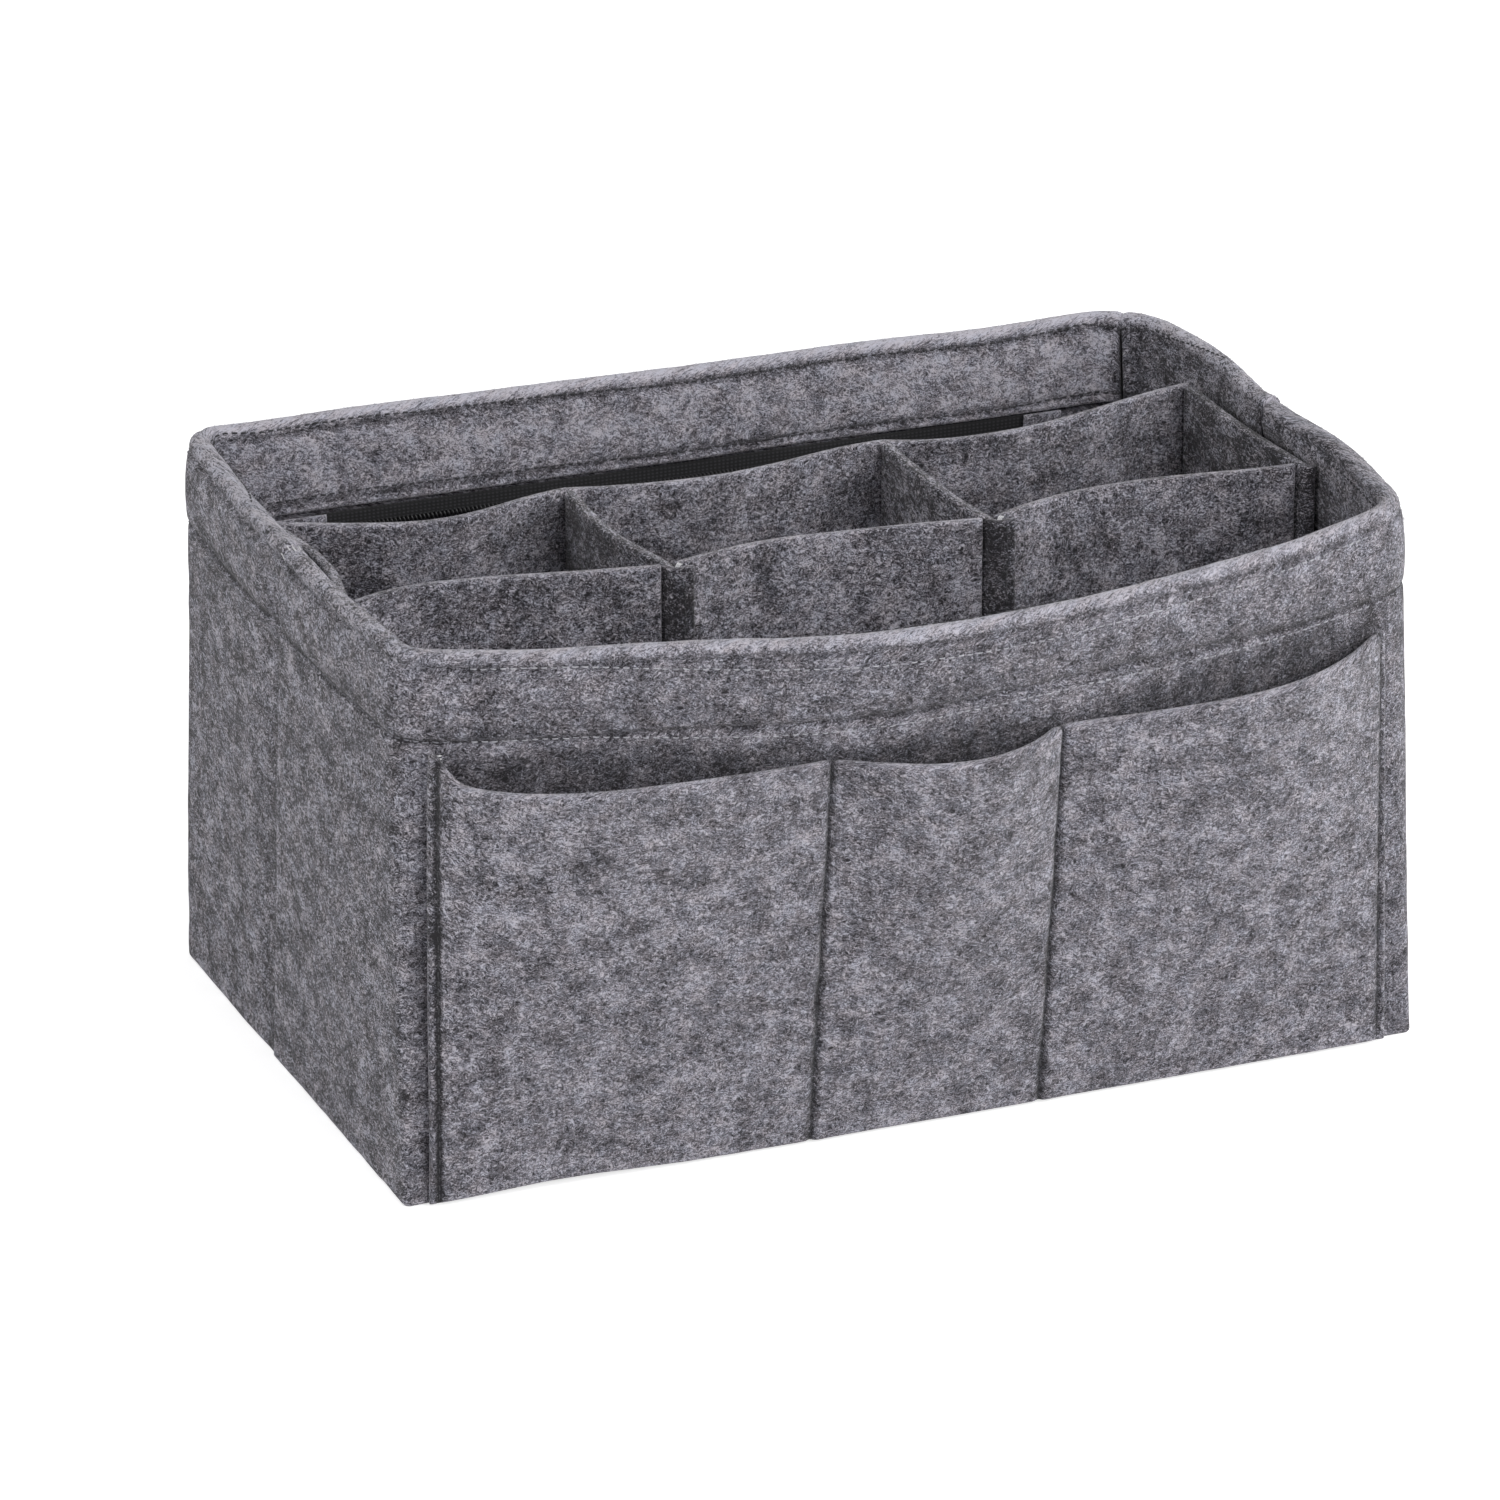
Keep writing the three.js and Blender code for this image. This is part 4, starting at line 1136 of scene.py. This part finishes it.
def rear_strip():
    t = strip_lines()
    columns = lap_columns(RIGHT, t, False)
    columns += finer_at_slit(corner_columns(RIGHT, t), t, RIGHT_SLIT)
    columns += side_columns(REAR, t)
    columns += finer_at_slit(corner_columns(REAR, t), t, LEFT_SLIT)
    columns += lap_columns(LEFT, t, False)[::-1]
    return wall_strip(columns, t, LAP_TUCK, seed=12)


FRONT_ROW_DROP = 1.8
UPPER_ROW_INSET = 34
RIM_FUZZ = (FOLD_START - 2, FLAP_START + 1)
RIM_FUZZ_COUNT = 2400
RIM_FUZZ_LENGTH = 1.1


def stretches(line):
    """A line round the box cut into its stretches on the ends and on the front or rear."""
    path, normals = line
    on_end = np.abs(path[:, 0]) > END_TONE_START
    cuts = [0, *(np.flatnonzero(np.diff(on_end)) + 1), len(path)]
    return [(bool(on_end[first]), (path[first:last + 1], normals[first:last + 1]))
            for first, last in zip(cuts, cuts[1:])]


front_felt = front_strip()
front_felt.piece("front_wall_felt", "shell", ["front_wall"])
rear_felt = rear_strip()
rear_felt.piece("rear_wall_felt", "shell", ["rear_wall"])
for strip, label, drop in ((front_felt, "front", FRONT_ROW_DROP), (rear_felt, "rear", 0)):
    lower_row = LOWER_ROW + front_row_rise(strip.outer[:, 0])
    for row, place in (("upper", UPPER_ROW), ("lower", lower_row)):
        for number, (on_end, line) in enumerate(stretches(strip.row(place))):
            stitch_row(f"stitches_{label}_{row}_outside_{number + 1}", line, "shell",
                       thread_grey if on_end else thread_light)
    for row, place, inset in (("upper", UPPER_ROW_IN + drop, UPPER_ROW_INSET),
                              ("lower", LOWER_ROW_IN, SEAM_GAP)):
        stitch_row(f"stitches_{label}_{row}_inside", strip.row(place), "shell", thread_shaded,
                   radius=INSIDE_THREAD_RADIUS, inset=inset)
for strip, label in ((front_felt, "front"), (rear_felt, "rear")):
    fuzz(f"fuzz_{label}_rim", strip, *RIM_FUZZ, RIM_FUZZ_COUNT, RIM_FUZZ_LENGTH, seed=71)


# The bartack over the rim, where the strips meet on the left

TACK_STRANDS = 5
TACK_STEPS = [(-2.6, -0.2), (-1, 0.1), (0, 0.25), (1, 0.1), (2.6, -0.2)]
TACK_START = 0.2
TACK_SLANT = 1.5
TACK_REACH_SHARES = (0.6, 1)
TACK_STRAY = 0.2


def rim_tack():
    """Threads over the rim from one strip to the other."""
    rng = np.random.default_rng(61)
    paths = []
    for across in np.linspace(TACK_START, 2 * FELT, TACK_STRANDS):
        arc = 1 - (across / FELT - 1) ** 2
        top = FOLD_START + FOLD_RADIUS * math.sqrt(max(arc, 0))
        slant = rng.uniform(-TACK_SLANT, TACK_SLANT)
        reach = rng.uniform(*TACK_REACH_SHARES)
        points = []
        for step, lift in TACK_STEPS:
            off = step * reach + slant + rng.normal(0, TACK_STRAY)
            share = lap_share_at(LEFT, WALL_HEIGHT) + off / BASE_DEPTH
            depth = across + rng.normal(0, TACK_STRAY)
            points.append(shell_point(end_at(LEFT, share), depth, top + lift))
        paths.append(points)
    return paths


threads("bartack_left_rim", rim_tack(), "shell", thread_pale)


# The front pockets

def arch_at(share, peak):
    share = np.clip(share, 0, 1)
    power = math.log(0.5) / math.log(peak)
    return np.sin(math.pi * share**power)


def pocket_bulge(x, z):
    bulge = np.zeros_like(x)
    rise = np.clip(z / POCKET_HEIGHT, 0, 1) ** BULGE_POWER_SHARE
    for start, end, (depth, peak) in zip(POCKET_EDGES, POCKET_EDGES[1:], POCKET_BULGES):
        inside = (x >= start) & (x <= end)
        arch = depth * arch_at((x - start) / (end - start), peak) * rise
        bulge = np.where(inside, arch, bulge)
    return bulge


POCKET_LEAN_FOOT = [-0.8, -3, -2, 0]
POCKET_LEAN_TOP = [-3.2, -0.6, 2, 5]
POCKET_STEP = 1.6
POCKET_UP_STEP = 1.9
POCKET_PRESS_MOST = 0.65
SEAM_PRESS_SHARE = 1.5
SEAM_SHADE = 0.22
SEAM_SHADE_WIDTH = 1.1
EDGE_SEAM = 2.4
EDGE_SEAM_WIDTH = 0.7
EDGE_SEAM_SHADE = 0.14
EDGE_STRIP_SHADE = 0.1
LEFT_SEAM_SHADE = 0.45
CORNER_RISE = 5.5
CORNER_RISE_REACH = 5
PUCKER = 0.45
PUCKER_REACH = 6
PUCKER_PITCH = 9
PUCKER_SHIFT = 40
SEAM_FINE = (3, 11, 3.4)
EDGE_FINE = (1.3, 9, 1.5)
POCKET_LEFT_SEAM = POCKET_EDGES[0] + EDGE_SEAM
POCKET_RIGHT_SEAM = POCKET_EDGES[-1] - EDGE_SEAM


def finer_at(xs, place, fine):
    """Swaps the positions beside one place for closer ones."""
    reach, count, clear = fine
    near = place + np.linspace(-reach, reach, count)
    return np.sort(np.concatenate([xs[np.abs(xs - place) > clear], near]))


def pocket_felt():
    start, *seams, end = POCKET_EDGES
    xs = spaced(end - start, POCKET_STEP) + start
    for seam in seams:
        xs = finer_at(xs, seam, SEAM_FINE)
    for edge in (POCKET_LEFT_SEAM, POCKET_RIGHT_SEAM):
        xs = finer_at(xs, edge, EDGE_FINE)
    height = POCKET_HEIGHT - POCKET_FOOT
    x, share = np.meshgrid(xs, spaced(height, POCKET_UP_STEP) / height, indexing="ij")
    rise = CORNER_RISE * hump(x - start, CORNER_RISE_REACH)
    z = lerp(POCKET_FOOT, pocket_top(x) + rise, share)
    # Lighter at the foot: painted light, as on the walls.
    tone = FOOT_PAINTED_LIGHT * hump(z, FOOT_PAINTED_LIGHT_HEIGHT) - EDGE_STRIP_SHADE * (x < POCKET_LEFT_SEAM)
    tone = tone - LEFT_SEAM_SHADE * hump(x - POCKET_LEFT_SEAM, EDGE_SEAM_WIDTH)
    tone = tone - EDGE_SEAM_SHADE * hump(x - POCKET_RIGHT_SEAM, EDGE_SEAM_WIDTH)
    pucker = 0
    for seam in seams:
        near = hump(x - seam, PUCKER_REACH) - hump(x - seam, 1)
        waves = np.stack([seam + PUCKER_SHIFT * (x > seam), 0 * z, z], -1)
        pucker = pucker + PUCKER * near * lattice_noise(waves, PUCKER_PITCH, seed=15)
        tone = tone - SEAM_SHADE * hump(x - seam, SEAM_SHADE_WIDTH)
    depth = -(SEAM_GAP + FELT / 2 + pocket_bulge(x, z) + pucker)
    lean = lerp(np.interp(x, POCKET_EDGES, POCKET_LEAN_FOOT),
                np.interp(x, POCKET_EDGES, POCKET_LEAN_TOP), share)
    middle = shell_point(side_at_x(FRONT, x + lean), depth, z)
    press = SEAM_PRESS_SHARE * row_press(x, seams)
    press = press + row_press(x, [POCKET_LEFT_SEAM, POCKET_RIGHT_SEAM])
    press = np.minimum(press, POCKET_PRESS_MOST)
    return Felt(middle, FELT, press, seed=13, tone=tone), xs


pocket, pocket_xs = pocket_felt()
pocket.piece("front_pocket_felt", "shell", ["front_pocket_panel"])
for label, x in (("seam_1", POCKET_EDGES[1]), ("seam_2", POCKET_EDGES[2]),
                 ("left_edge", POCKET_LEFT_SEAM), ("right_edge", POCKET_RIGHT_SEAM)):
    column = np.argmin(np.abs(pocket_xs - x))
    stitch_row(f"stitches_pocket_{label}", (pocket.outer[column], pocket.normal[column]),
               "shell", thread_shaded)

STRAND_ARCH = np.array([0, -0.25, 0])


def short_strands(count, first, step, reach):
    """Parallel strands, each from its start to its start and a reach, given in mm."""
    reach = np.array(reach)
    starts = [np.array(first) + number * np.array(step) for number in range(count)]
    return [[start, start + reach / 2 + STRAND_ARCH, start + reach] for start in starts]


CORNER_TACK_OFF = (-0.8, -0.5, -0.5)
CORNER_TACK_STEP = (0.05, -0.05, -0.85)
CORNER_TACK_REACH = (3.2, -0.8, 0.2)
MOUTH_FUZZ = (POCKET_HEIGHT - POCKET_FOOT - 8, POCKET_HEIGHT)
MOUTH_FUZZ_COUNT = 700
corner_tack = short_strands(5, pocket.outer[1, -2] + CORNER_TACK_OFF, CORNER_TACK_STEP,
                            CORNER_TACK_REACH)
threads("bartack_pocket_left", corner_tack, "shell", thread_pale,
        radius=INSIDE_THREAD_RADIUS)
fuzz("fuzz_pocket_mouth", pocket, *MOUTH_FUZZ, MOUTH_FUZZ_COUNT, length=1, seed=72)


# The zipped pocket on the rear wall

SHEET_STRAY = 0.12
SHEET_STRAY_SIZE = 25
LINING_STEP = 2.2
LINING_LUMP = 0.08
CHEEK_STEP = 1.5
CHEEK_LUMP = 0.05
TAPE_STEP = 1.2
TAPE_LUMP = 0.02
TAPE_START = ZIP_START - STOP_LENGTH
TAPE_END = ZIP_END + STOP_LENGTH


def rear_sheet(x_ends, z_ends, y, thickness, seed, step, lump):
    """A flat sheet that stands along the rear wall."""
    (left, right), (low, high) = x_ends, z_ends
    xs = spaced(right - left, step) + left
    x, z = np.meshgrid(xs[::-1], spaced(high - low, step) + low, indexing="ij")
    place = np.stack([x, 0 * x, z], -1)
    place[..., 1] = y + SHEET_STRAY * lattice_noise(place, SHEET_STRAY_SIZE, seed)
    return Felt(place, thickness, 0, seed, lump)


lining_low = rear_sheet((LINING_LEFT, LINING_RIGHT), (LINING_FOOT, ZIP_MOUTH_LOW), LINING_Y,
                        LINING_FELT, 21, LINING_STEP, LINING_LUMP)
lining_low.piece("zip_pocket_lining", "shell", ["zip_pocket_panel"])
for label, x_ends in (("left", (LINING_LEFT, ZIP_START - SEAM_GAP)),
                      ("right", (ZIP_END + SEAM_GAP, LINING_RIGHT))):
    cheek = rear_sheet(x_ends, (ZIP_MOUTH_LOW, LINING_TOP), LINING_Y, LINING_FELT, 23,
                       CHEEK_STEP, CHEEK_LUMP)
    cheek.piece(f"zip_lining_{label}_cheek", "shell")
for label, direction, width in (("upper", 1, TAPE_UPPER), ("lower", -1, TAPE_LOWER)):
    near = ZIP_HEIGHT + direction * CHAIN_GAP / 2
    tape = rear_sheet((TAPE_START, TAPE_END), sorted([near, near + direction * width]),
                      TAPE_Y, TAPE_THICKNESS, 24, TAPE_STEP, TAPE_LUMP)
    tape.piece(f"zip_tape_{label}_woven", "shell", [f"zip_tape_{label}"], "zip_tape",
               tape_black)

ZIP_TACK_OFF = (-0.9, -LINING_FELT / 2 - 0.1, 0.8)
ZIP_TACK_STEP = (0.5, 0, 0.05)
ZIP_TACK_REACH = (0.1, 0, 2.8)
for label, x in (("left", TAPE_START), ("right", TAPE_END)):
    first = np.array([x, LINING_Y, ZIP_MOUTH_LOW]) + ZIP_TACK_OFF
    threads(f"bartack_zip_{label}", short_strands(4, first, ZIP_TACK_STEP, ZIP_TACK_REACH),
            "shell", thread_light)

COIL_PITCH = 1.15
COIL_WIRE = 0.27
COIL_TURN_STEPS = 14
COIL_CLEAR = 1


def coil_helix(direction):
    """One row of the chain: a wire wound in a flat helix along the edge of its tape."""
    start = ZIP_START + STOP_LENGTH + COIL_CLEAR
    end = ZIP_END - STOP_LENGTH - COIL_CLEAR
    turns = int((end - start) / COIL_PITCH)
    angle = np.linspace(0, turns * 2 * math.pi, turns * COIL_TURN_STEPS + 1)
    x = start + angle / (2 * math.pi) * COIL_PITCH
    y = COIL_Y - (COIL_DEPTH / 2 - COIL_WIRE) * np.sin(angle)
    z = ZIP_HEIGHT + direction * (CHAIN_GAP + COIL_WIDTH) / 2
    z = z + (COIL_WIDTH / 2 - COIL_WIRE) * np.cos(angle)
    centre = np.stack([x, y, z], -1)
    ahead = unit(np.gradient(centre, axis=0))
    side = unit(np.cross(ahead, np.array([1.0, 0, 0])))
    points = rings_round(centre, side, np.cross(side, ahead), COIL_WIRE)
    return points.reshape(-1, 3), tube_faces(1, len(centre), STITCH_SIDES)


for label, direction in (("upper", 1), ("lower", -1)):
    new_piece(f"zip_coil_{label}_wire", *coil_helix(direction), "shell", "zip_coil",
              coil_black, [f"zip_coil_{label}"])
for name, finish in (("zip_stop_left", coil_black), ("zip_stop_right", coil_black),
                     ("zip_slider", slider_black), ("zip_pull", slider_black)):
    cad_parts[name].data.materials.clear()
    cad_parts[name].data.materials.append(finish)


# The base panel: its edge reaches a little way into the seam with the walls

BASE_TUCK = 0.5
BASE_LIFT_REACH = 14
BASE_STEP = 3
BASE_FELT = 2.9
BASE_LUMP = 0.05


def base_felt():
    inset = FELT - BASE_TUCK
    half_x = BASE_LENGTH / 2 + FOOT_SPREAD - inset
    half_y = BASE_DEPTH / 2 + FOOT_SPREAD / 2 - inset
    x, y = np.meshgrid(spaced(2 * half_x, BASE_STEP) - half_x,
                       spaced(2 * half_y, BASE_STEP) - half_y, indexing="ij")
    lap_y = lerp(-BASE_DEPTH / 2, BASE_DEPTH / 2, LAP_BASE_SHARE)
    tuck = LAP_TUCK - LAP_PRESS_SHARE * FELT
    give = tuck * (1 - smooth((np.abs(y - lap_y) - 2 * LAP_WIDTH) / LAP_FADE))
    lift = hump(x - FOOT_LIFT_X, FOOT_LIFT_WIDTH) * hump(y + half_y, BASE_LIFT_REACH)
    middle = np.stack([x * (1 - give / half_x), y, FELT / 2 + FOOT_LIFT * lift], -1)
    return Felt(middle, BASE_FELT, 0, 31, BASE_LUMP)


base_felt().piece("base_panel_felt", "shell", ["base_panel"])


# The divider

def bowed_path(joints, sags):
    """A path in plan through the joints, bowed between them by the sags."""
    joints = np.array(joints, float)

    def place_at(step, bow_share):
        stretch = np.minimum(np.floor(step).astype(int), len(sags) - 1)
        point = np.zeros(step.shape + (2,))
        for number, (depth, peak) in enumerate(sags):
            here = stretch == number
            share = step[here] - number
            start = joints[number]
            run = joints[number + 1] - start
            side = np.array([-run[1], run[0]]) / np.linalg.norm(run)
            bow = depth * arch_at(share, peak) ** SAG_POWER_SHARE * bow_share[here]
            point[here] = start + run * share[:, None] + side * bow[:, None]
        return point
    return place_at


# Painted shade inside the box: all over the divider, more on the faces of the cross walls; the
# flanges are darker both as pressed felt and as painted shade.
DIVIDER_PAINTED_SHADE = -0.04
FLANGE_PRESSED_AND_SHADED = [0, -0.12, -0.16, -0.06]
WEB_PAINTED_SHADES = [-0.03, -0.2, -0.14, -0.22]
FLANGE_PRESS_SHARE = 0.2
FLANGE_TOP = 2.5
DIVIDER_ROUND = 0.85
DIVIDER_STEP = 1.6
DIVIDER_UP_STEP = 2.2
CROSS_STEP = 1.1
DIVIDER_RIM_WAVE = 0.5
DIVIDER_RIM_WAVE_SIZE = 24
DIVIDER_STRAY = 0.3
DIVIDER_STRAY_SIZE = 30


def divider_sheet(place_at, steps, seed, flange_start=None, flange_pressed_and_shaded=0, web_shade=0):
    """A panel that stands on a path in plan, with its flange from a step on."""
    up = spaced(DIVIDER_HEIGHT, DIVIDER_UP_STEP) / DIVIDER_HEIGHT
    step, share = np.meshgrid(steps, up, indexing="ij")
    plan = place_at(step, lerp(FOOT_BOW_SHARE, 1, share))
    z = DIVIDER_FOOT + share * DIVIDER_HEIGHT
    place = np.stack([plan[..., 0], plan[..., 1], z], -1)
    stray = DIVIDER_STRAY * share * lattice_noise(place, DIVIDER_STRAY_SIZE, seed=7)
    wave = lattice_noise(place * FLAT, DIVIDER_RIM_WAVE_SIZE, seed=6)
    place[..., 2] = z + DIVIDER_RIM_WAVE * share**3 * wave
    normal = unit(np.cross(np.gradient(place, axis=0), np.gradient(place, axis=1)))
    # Painted shade on the divider, and the flange darker below its top as pressed felt and
    # painted shade.
    tone = (DIVIDER_PAINTED_SHADE + web_shade) * np.ones_like(step)
    press = 0
    if flange_start is not None:
        on_flange = smooth(step - flange_start)
        below_top = 1 - hump((1 - share) * DIVIDER_HEIGHT, FLANGE_TOP)
        press = FLANGE_PRESS_SHARE * on_flange
        tone = tone + flange_pressed_and_shaded * on_flange * below_top + PRESS_TONE * press
    return Felt(place + normal * stray[..., None], FELT, press, seed, tone=tone,
                contrast=INSIDE_CONTRAST, end_round=DIVIDER_ROUND, side_round=DIVIDER_ROUND)


def divider_rear():
    joints = [list(joint) for joint in DIVIDER_REAR]
    joints[0][0] -= FELT / 2
    joints[-1][0] += FELT / 2
    length = joints[-1][0] - joints[0][0]
    steps = spaced(length, DIVIDER_STEP) / length * len(REAR_SAGS)
    return divider_sheet(bowed_path(joints, REAR_SAGS), steps, 41)


def divider_front(cell):
    butt = FELT / 2 + JOINT_GAP
    x0, y0 = DIVIDER_FRONT[cell]
    x1, y1 = DIVIDER_FRONT[cell + 1]
    joints = [(x0 + butt, y0), (x1 - butt, y1)]
    length = joints[1][0] - joints[0][0]
    steps = spaced(length, DIVIDER_STEP) / length
    return divider_sheet(bowed_path(joints, [FRONT_SAGS[cell]]), steps, 42 + cell)


def cross_wall(joint):
    """A cross wall from the rear panel to its flange, and how long it is in plan."""
    flange = FLANGE_LENGTHS[joint]
    is_end = joint in (0, len(DIVIDER_REAR) - 1)
    gap = FELT / 2 + (END_JOINT_GAP if is_end else JOINT_GAP)
    start = DIVIDER_REAR[joint] - np.array([0, gap])
    end = DIVIDER_FRONT[joint] - np.array([0, FELT + SEAM_GAP if flange else -FELT / 2])
    radius = FELT / 2 + SEAM_GAP
    straight = end + np.array([0, radius]) if flange else end
    length = np.linalg.norm(straight - start)
    down = (straight - start) / length
    side = np.array([-down[1], down[0]])
    bend = radius * math.pi / 2

    def place_at(step, bow_share):
        share = np.clip(step / length, 0, 1)
        bow = WEB_BOWS[joint] * np.sin(math.pi * share) ** SAG_POWER_SHARE * bow_share
        point = start + (straight - start) * share[..., None] + side * bow[..., None]
        turn = math.pi + np.clip((step - length) / radius, 0, math.pi / 2)
        arc = straight + radius * np.stack([1 + np.cos(turn), np.sin(turn)], -1)
        arc[..., 0] += np.maximum(step - length - bend, 0)
        return np.where((step > length)[..., None], arc, point) if flange else point

    total = length + (bend + max(flange - radius, 0) if flange else 0)
    flange_start = length - FELT / 2 if flange else None
    return divider_sheet(place_at, spaced(total, CROSS_STEP), 46 + joint, flange_start,
                         FLANGE_PRESSED_AND_SHADED[joint], WEB_PAINTED_SHADES[joint]), total


FLANGE_ROW_IN = 2.6
KNOT_IN = 4
KNOT_POINTS = np.array([(-1.4, -0.5, -1.6), (-0.4, 0.4, 0.5), (1.2, 2.6, 0.2)])
KNOT_STEPS = np.array([(0.5, 0, 0.4), (0.5, 0, 0), (0.5, 0, -0.3)])
CROSS_NAMES = ["divider_left_end", "divider_cross_wall_left", "divider_cross_wall_right",
               "divider_right_end"]

divider_rear().piece("divider_rear_felt", "divider", ["divider_rear_panel"])
for cell, label in enumerate(("left", "middle", "right")):
    divider_front(cell).piece(f"divider_front_{label}_felt", "divider",
                              [f"divider_front_panel_{label}"])
for joint, name in enumerate(CROSS_NAMES):
    wall, total = cross_wall(joint)
    wall.piece(f"{name}_felt", "divider", [name])
    if FLANGE_LENGTHS[joint] > FELT:
        stitch_row(f"stitches_flange_{joint}", wall.column(total - FLANGE_ROW_IN), "divider",
                   thread_shaded)
        top = wall.column(total - KNOT_IN)[0][-1]
        strands = [top + KNOT_POINTS + number * KNOT_STEPS for number in range(3)]
        threads(f"knot_flange_{joint}", strands, "divider", thread_pale)


# The floor, the light and the camera

FLOOR_GLOW = 0.68
FLOOR_SIZE = 12
WORLD_STRENGTH = 0.4


def stage_floor():
    half = FLOOR_SIZE / 2
    mesh = bpy.data.meshes.new("floor")
    mesh.from_pydata([(-half, -half, 0), (half, -half, 0), (half, half, 0), (-half, half, 0)],
                     [], [(0, 1, 2, 3)])
    floor = bpy.data.objects.new("floor", mesh)
    bpy.context.scene.collection.objects.link(floor)
    made = bpy.data.materials.new("pale_floor")
    graph = Graph(made)
    graph.shade({"Base Color": (0.8, 0.8, 0.8, 1), "Roughness": 0.9,
                 "Specular IOR Level": 0, "Emission Color": (1, 1, 1, 1),
                 "Emission Strength": graph.math("MULTIPLY", graph.seen(), FLOOR_GLOW)})
    mesh.materials.append(made)


def light_world():
    """White for what the camera sees, and dimmer for the light on the object."""
    world = bpy.data.worlds.new("studio")
    bpy.context.scene.world = world
    graph = Graph(world)
    seen = graph.math("MINIMUM", graph.seen(), 1)
    strength = graph.math("MULTIPLY_ADD", seen, 1 - WORLD_STRENGTH, WORLD_STRENGTH)
    graph.fill(graph.nodes["Background"], {"Color": (1, 1, 1, 1), "Strength": strength})


LAMP_SIZE = 1.4
LAMPS = {"key_lamp": ((0.5, -2.0, 1.35), 32), "left_lamp": ((-2.2, -0.3, 0.9), 14),
         "right_lamp": ((2.2, -0.5, 0.9), 22)}


def soft_lamp(name, place, watts):
    data = bpy.data.lights.new(name, "AREA")
    data.shape = "SQUARE"
    data.size = LAMP_SIZE
    data.energy = watts
    lamp = bpy.data.objects.new(name, data)
    lamp.location = place
    lamp.rotation_mode = "QUATERNION"
    lamp.rotation_quaternion = (-Vector(place)).to_track_quat("-Z", "Y")
    bpy.context.scene.collection.objects.link(lamp)


NEAR_CLIP = 0.1
FAR_CLIP = 50


def photo_camera():
    a, e = math.radians(CAMERA_AZIMUTH), math.radians(CAMERA_ELEVATION)
    back = Vector((math.sin(a) * math.cos(e), -math.cos(a) * math.cos(e), math.sin(e)))
    right = Vector((math.cos(a), math.sin(a), 0))
    up = back.cross(right)
    data = bpy.data.cameras.new("photo_camera")
    data.sensor_width = SENSOR
    data.lens = FOCAL_PIXELS / FRAME_PIXELS * SENSOR
    data.clip_start = NEAR_CLIP
    data.clip_end = FAR_CLIP
    camera = bpy.data.objects.new("photo_camera", data)
    place = right * CAMERA_RIGHT + up * CAMERA_UP + back * CAMERA_DISTANCE
    camera.matrix_world = Matrix.Translation(place * MM) @ Matrix(
        (right, up, back)).transposed().to_4x4()
    bpy.context.scene.collection.objects.link(camera)
    bpy.context.scene.camera = camera


stage_floor()
light_world()
for name, (place, watts) in LAMPS.items():
    soft_lamp(name, place, watts)
photo_camera()
bpy.context.scene.view_settings.view_transform = "Standard"
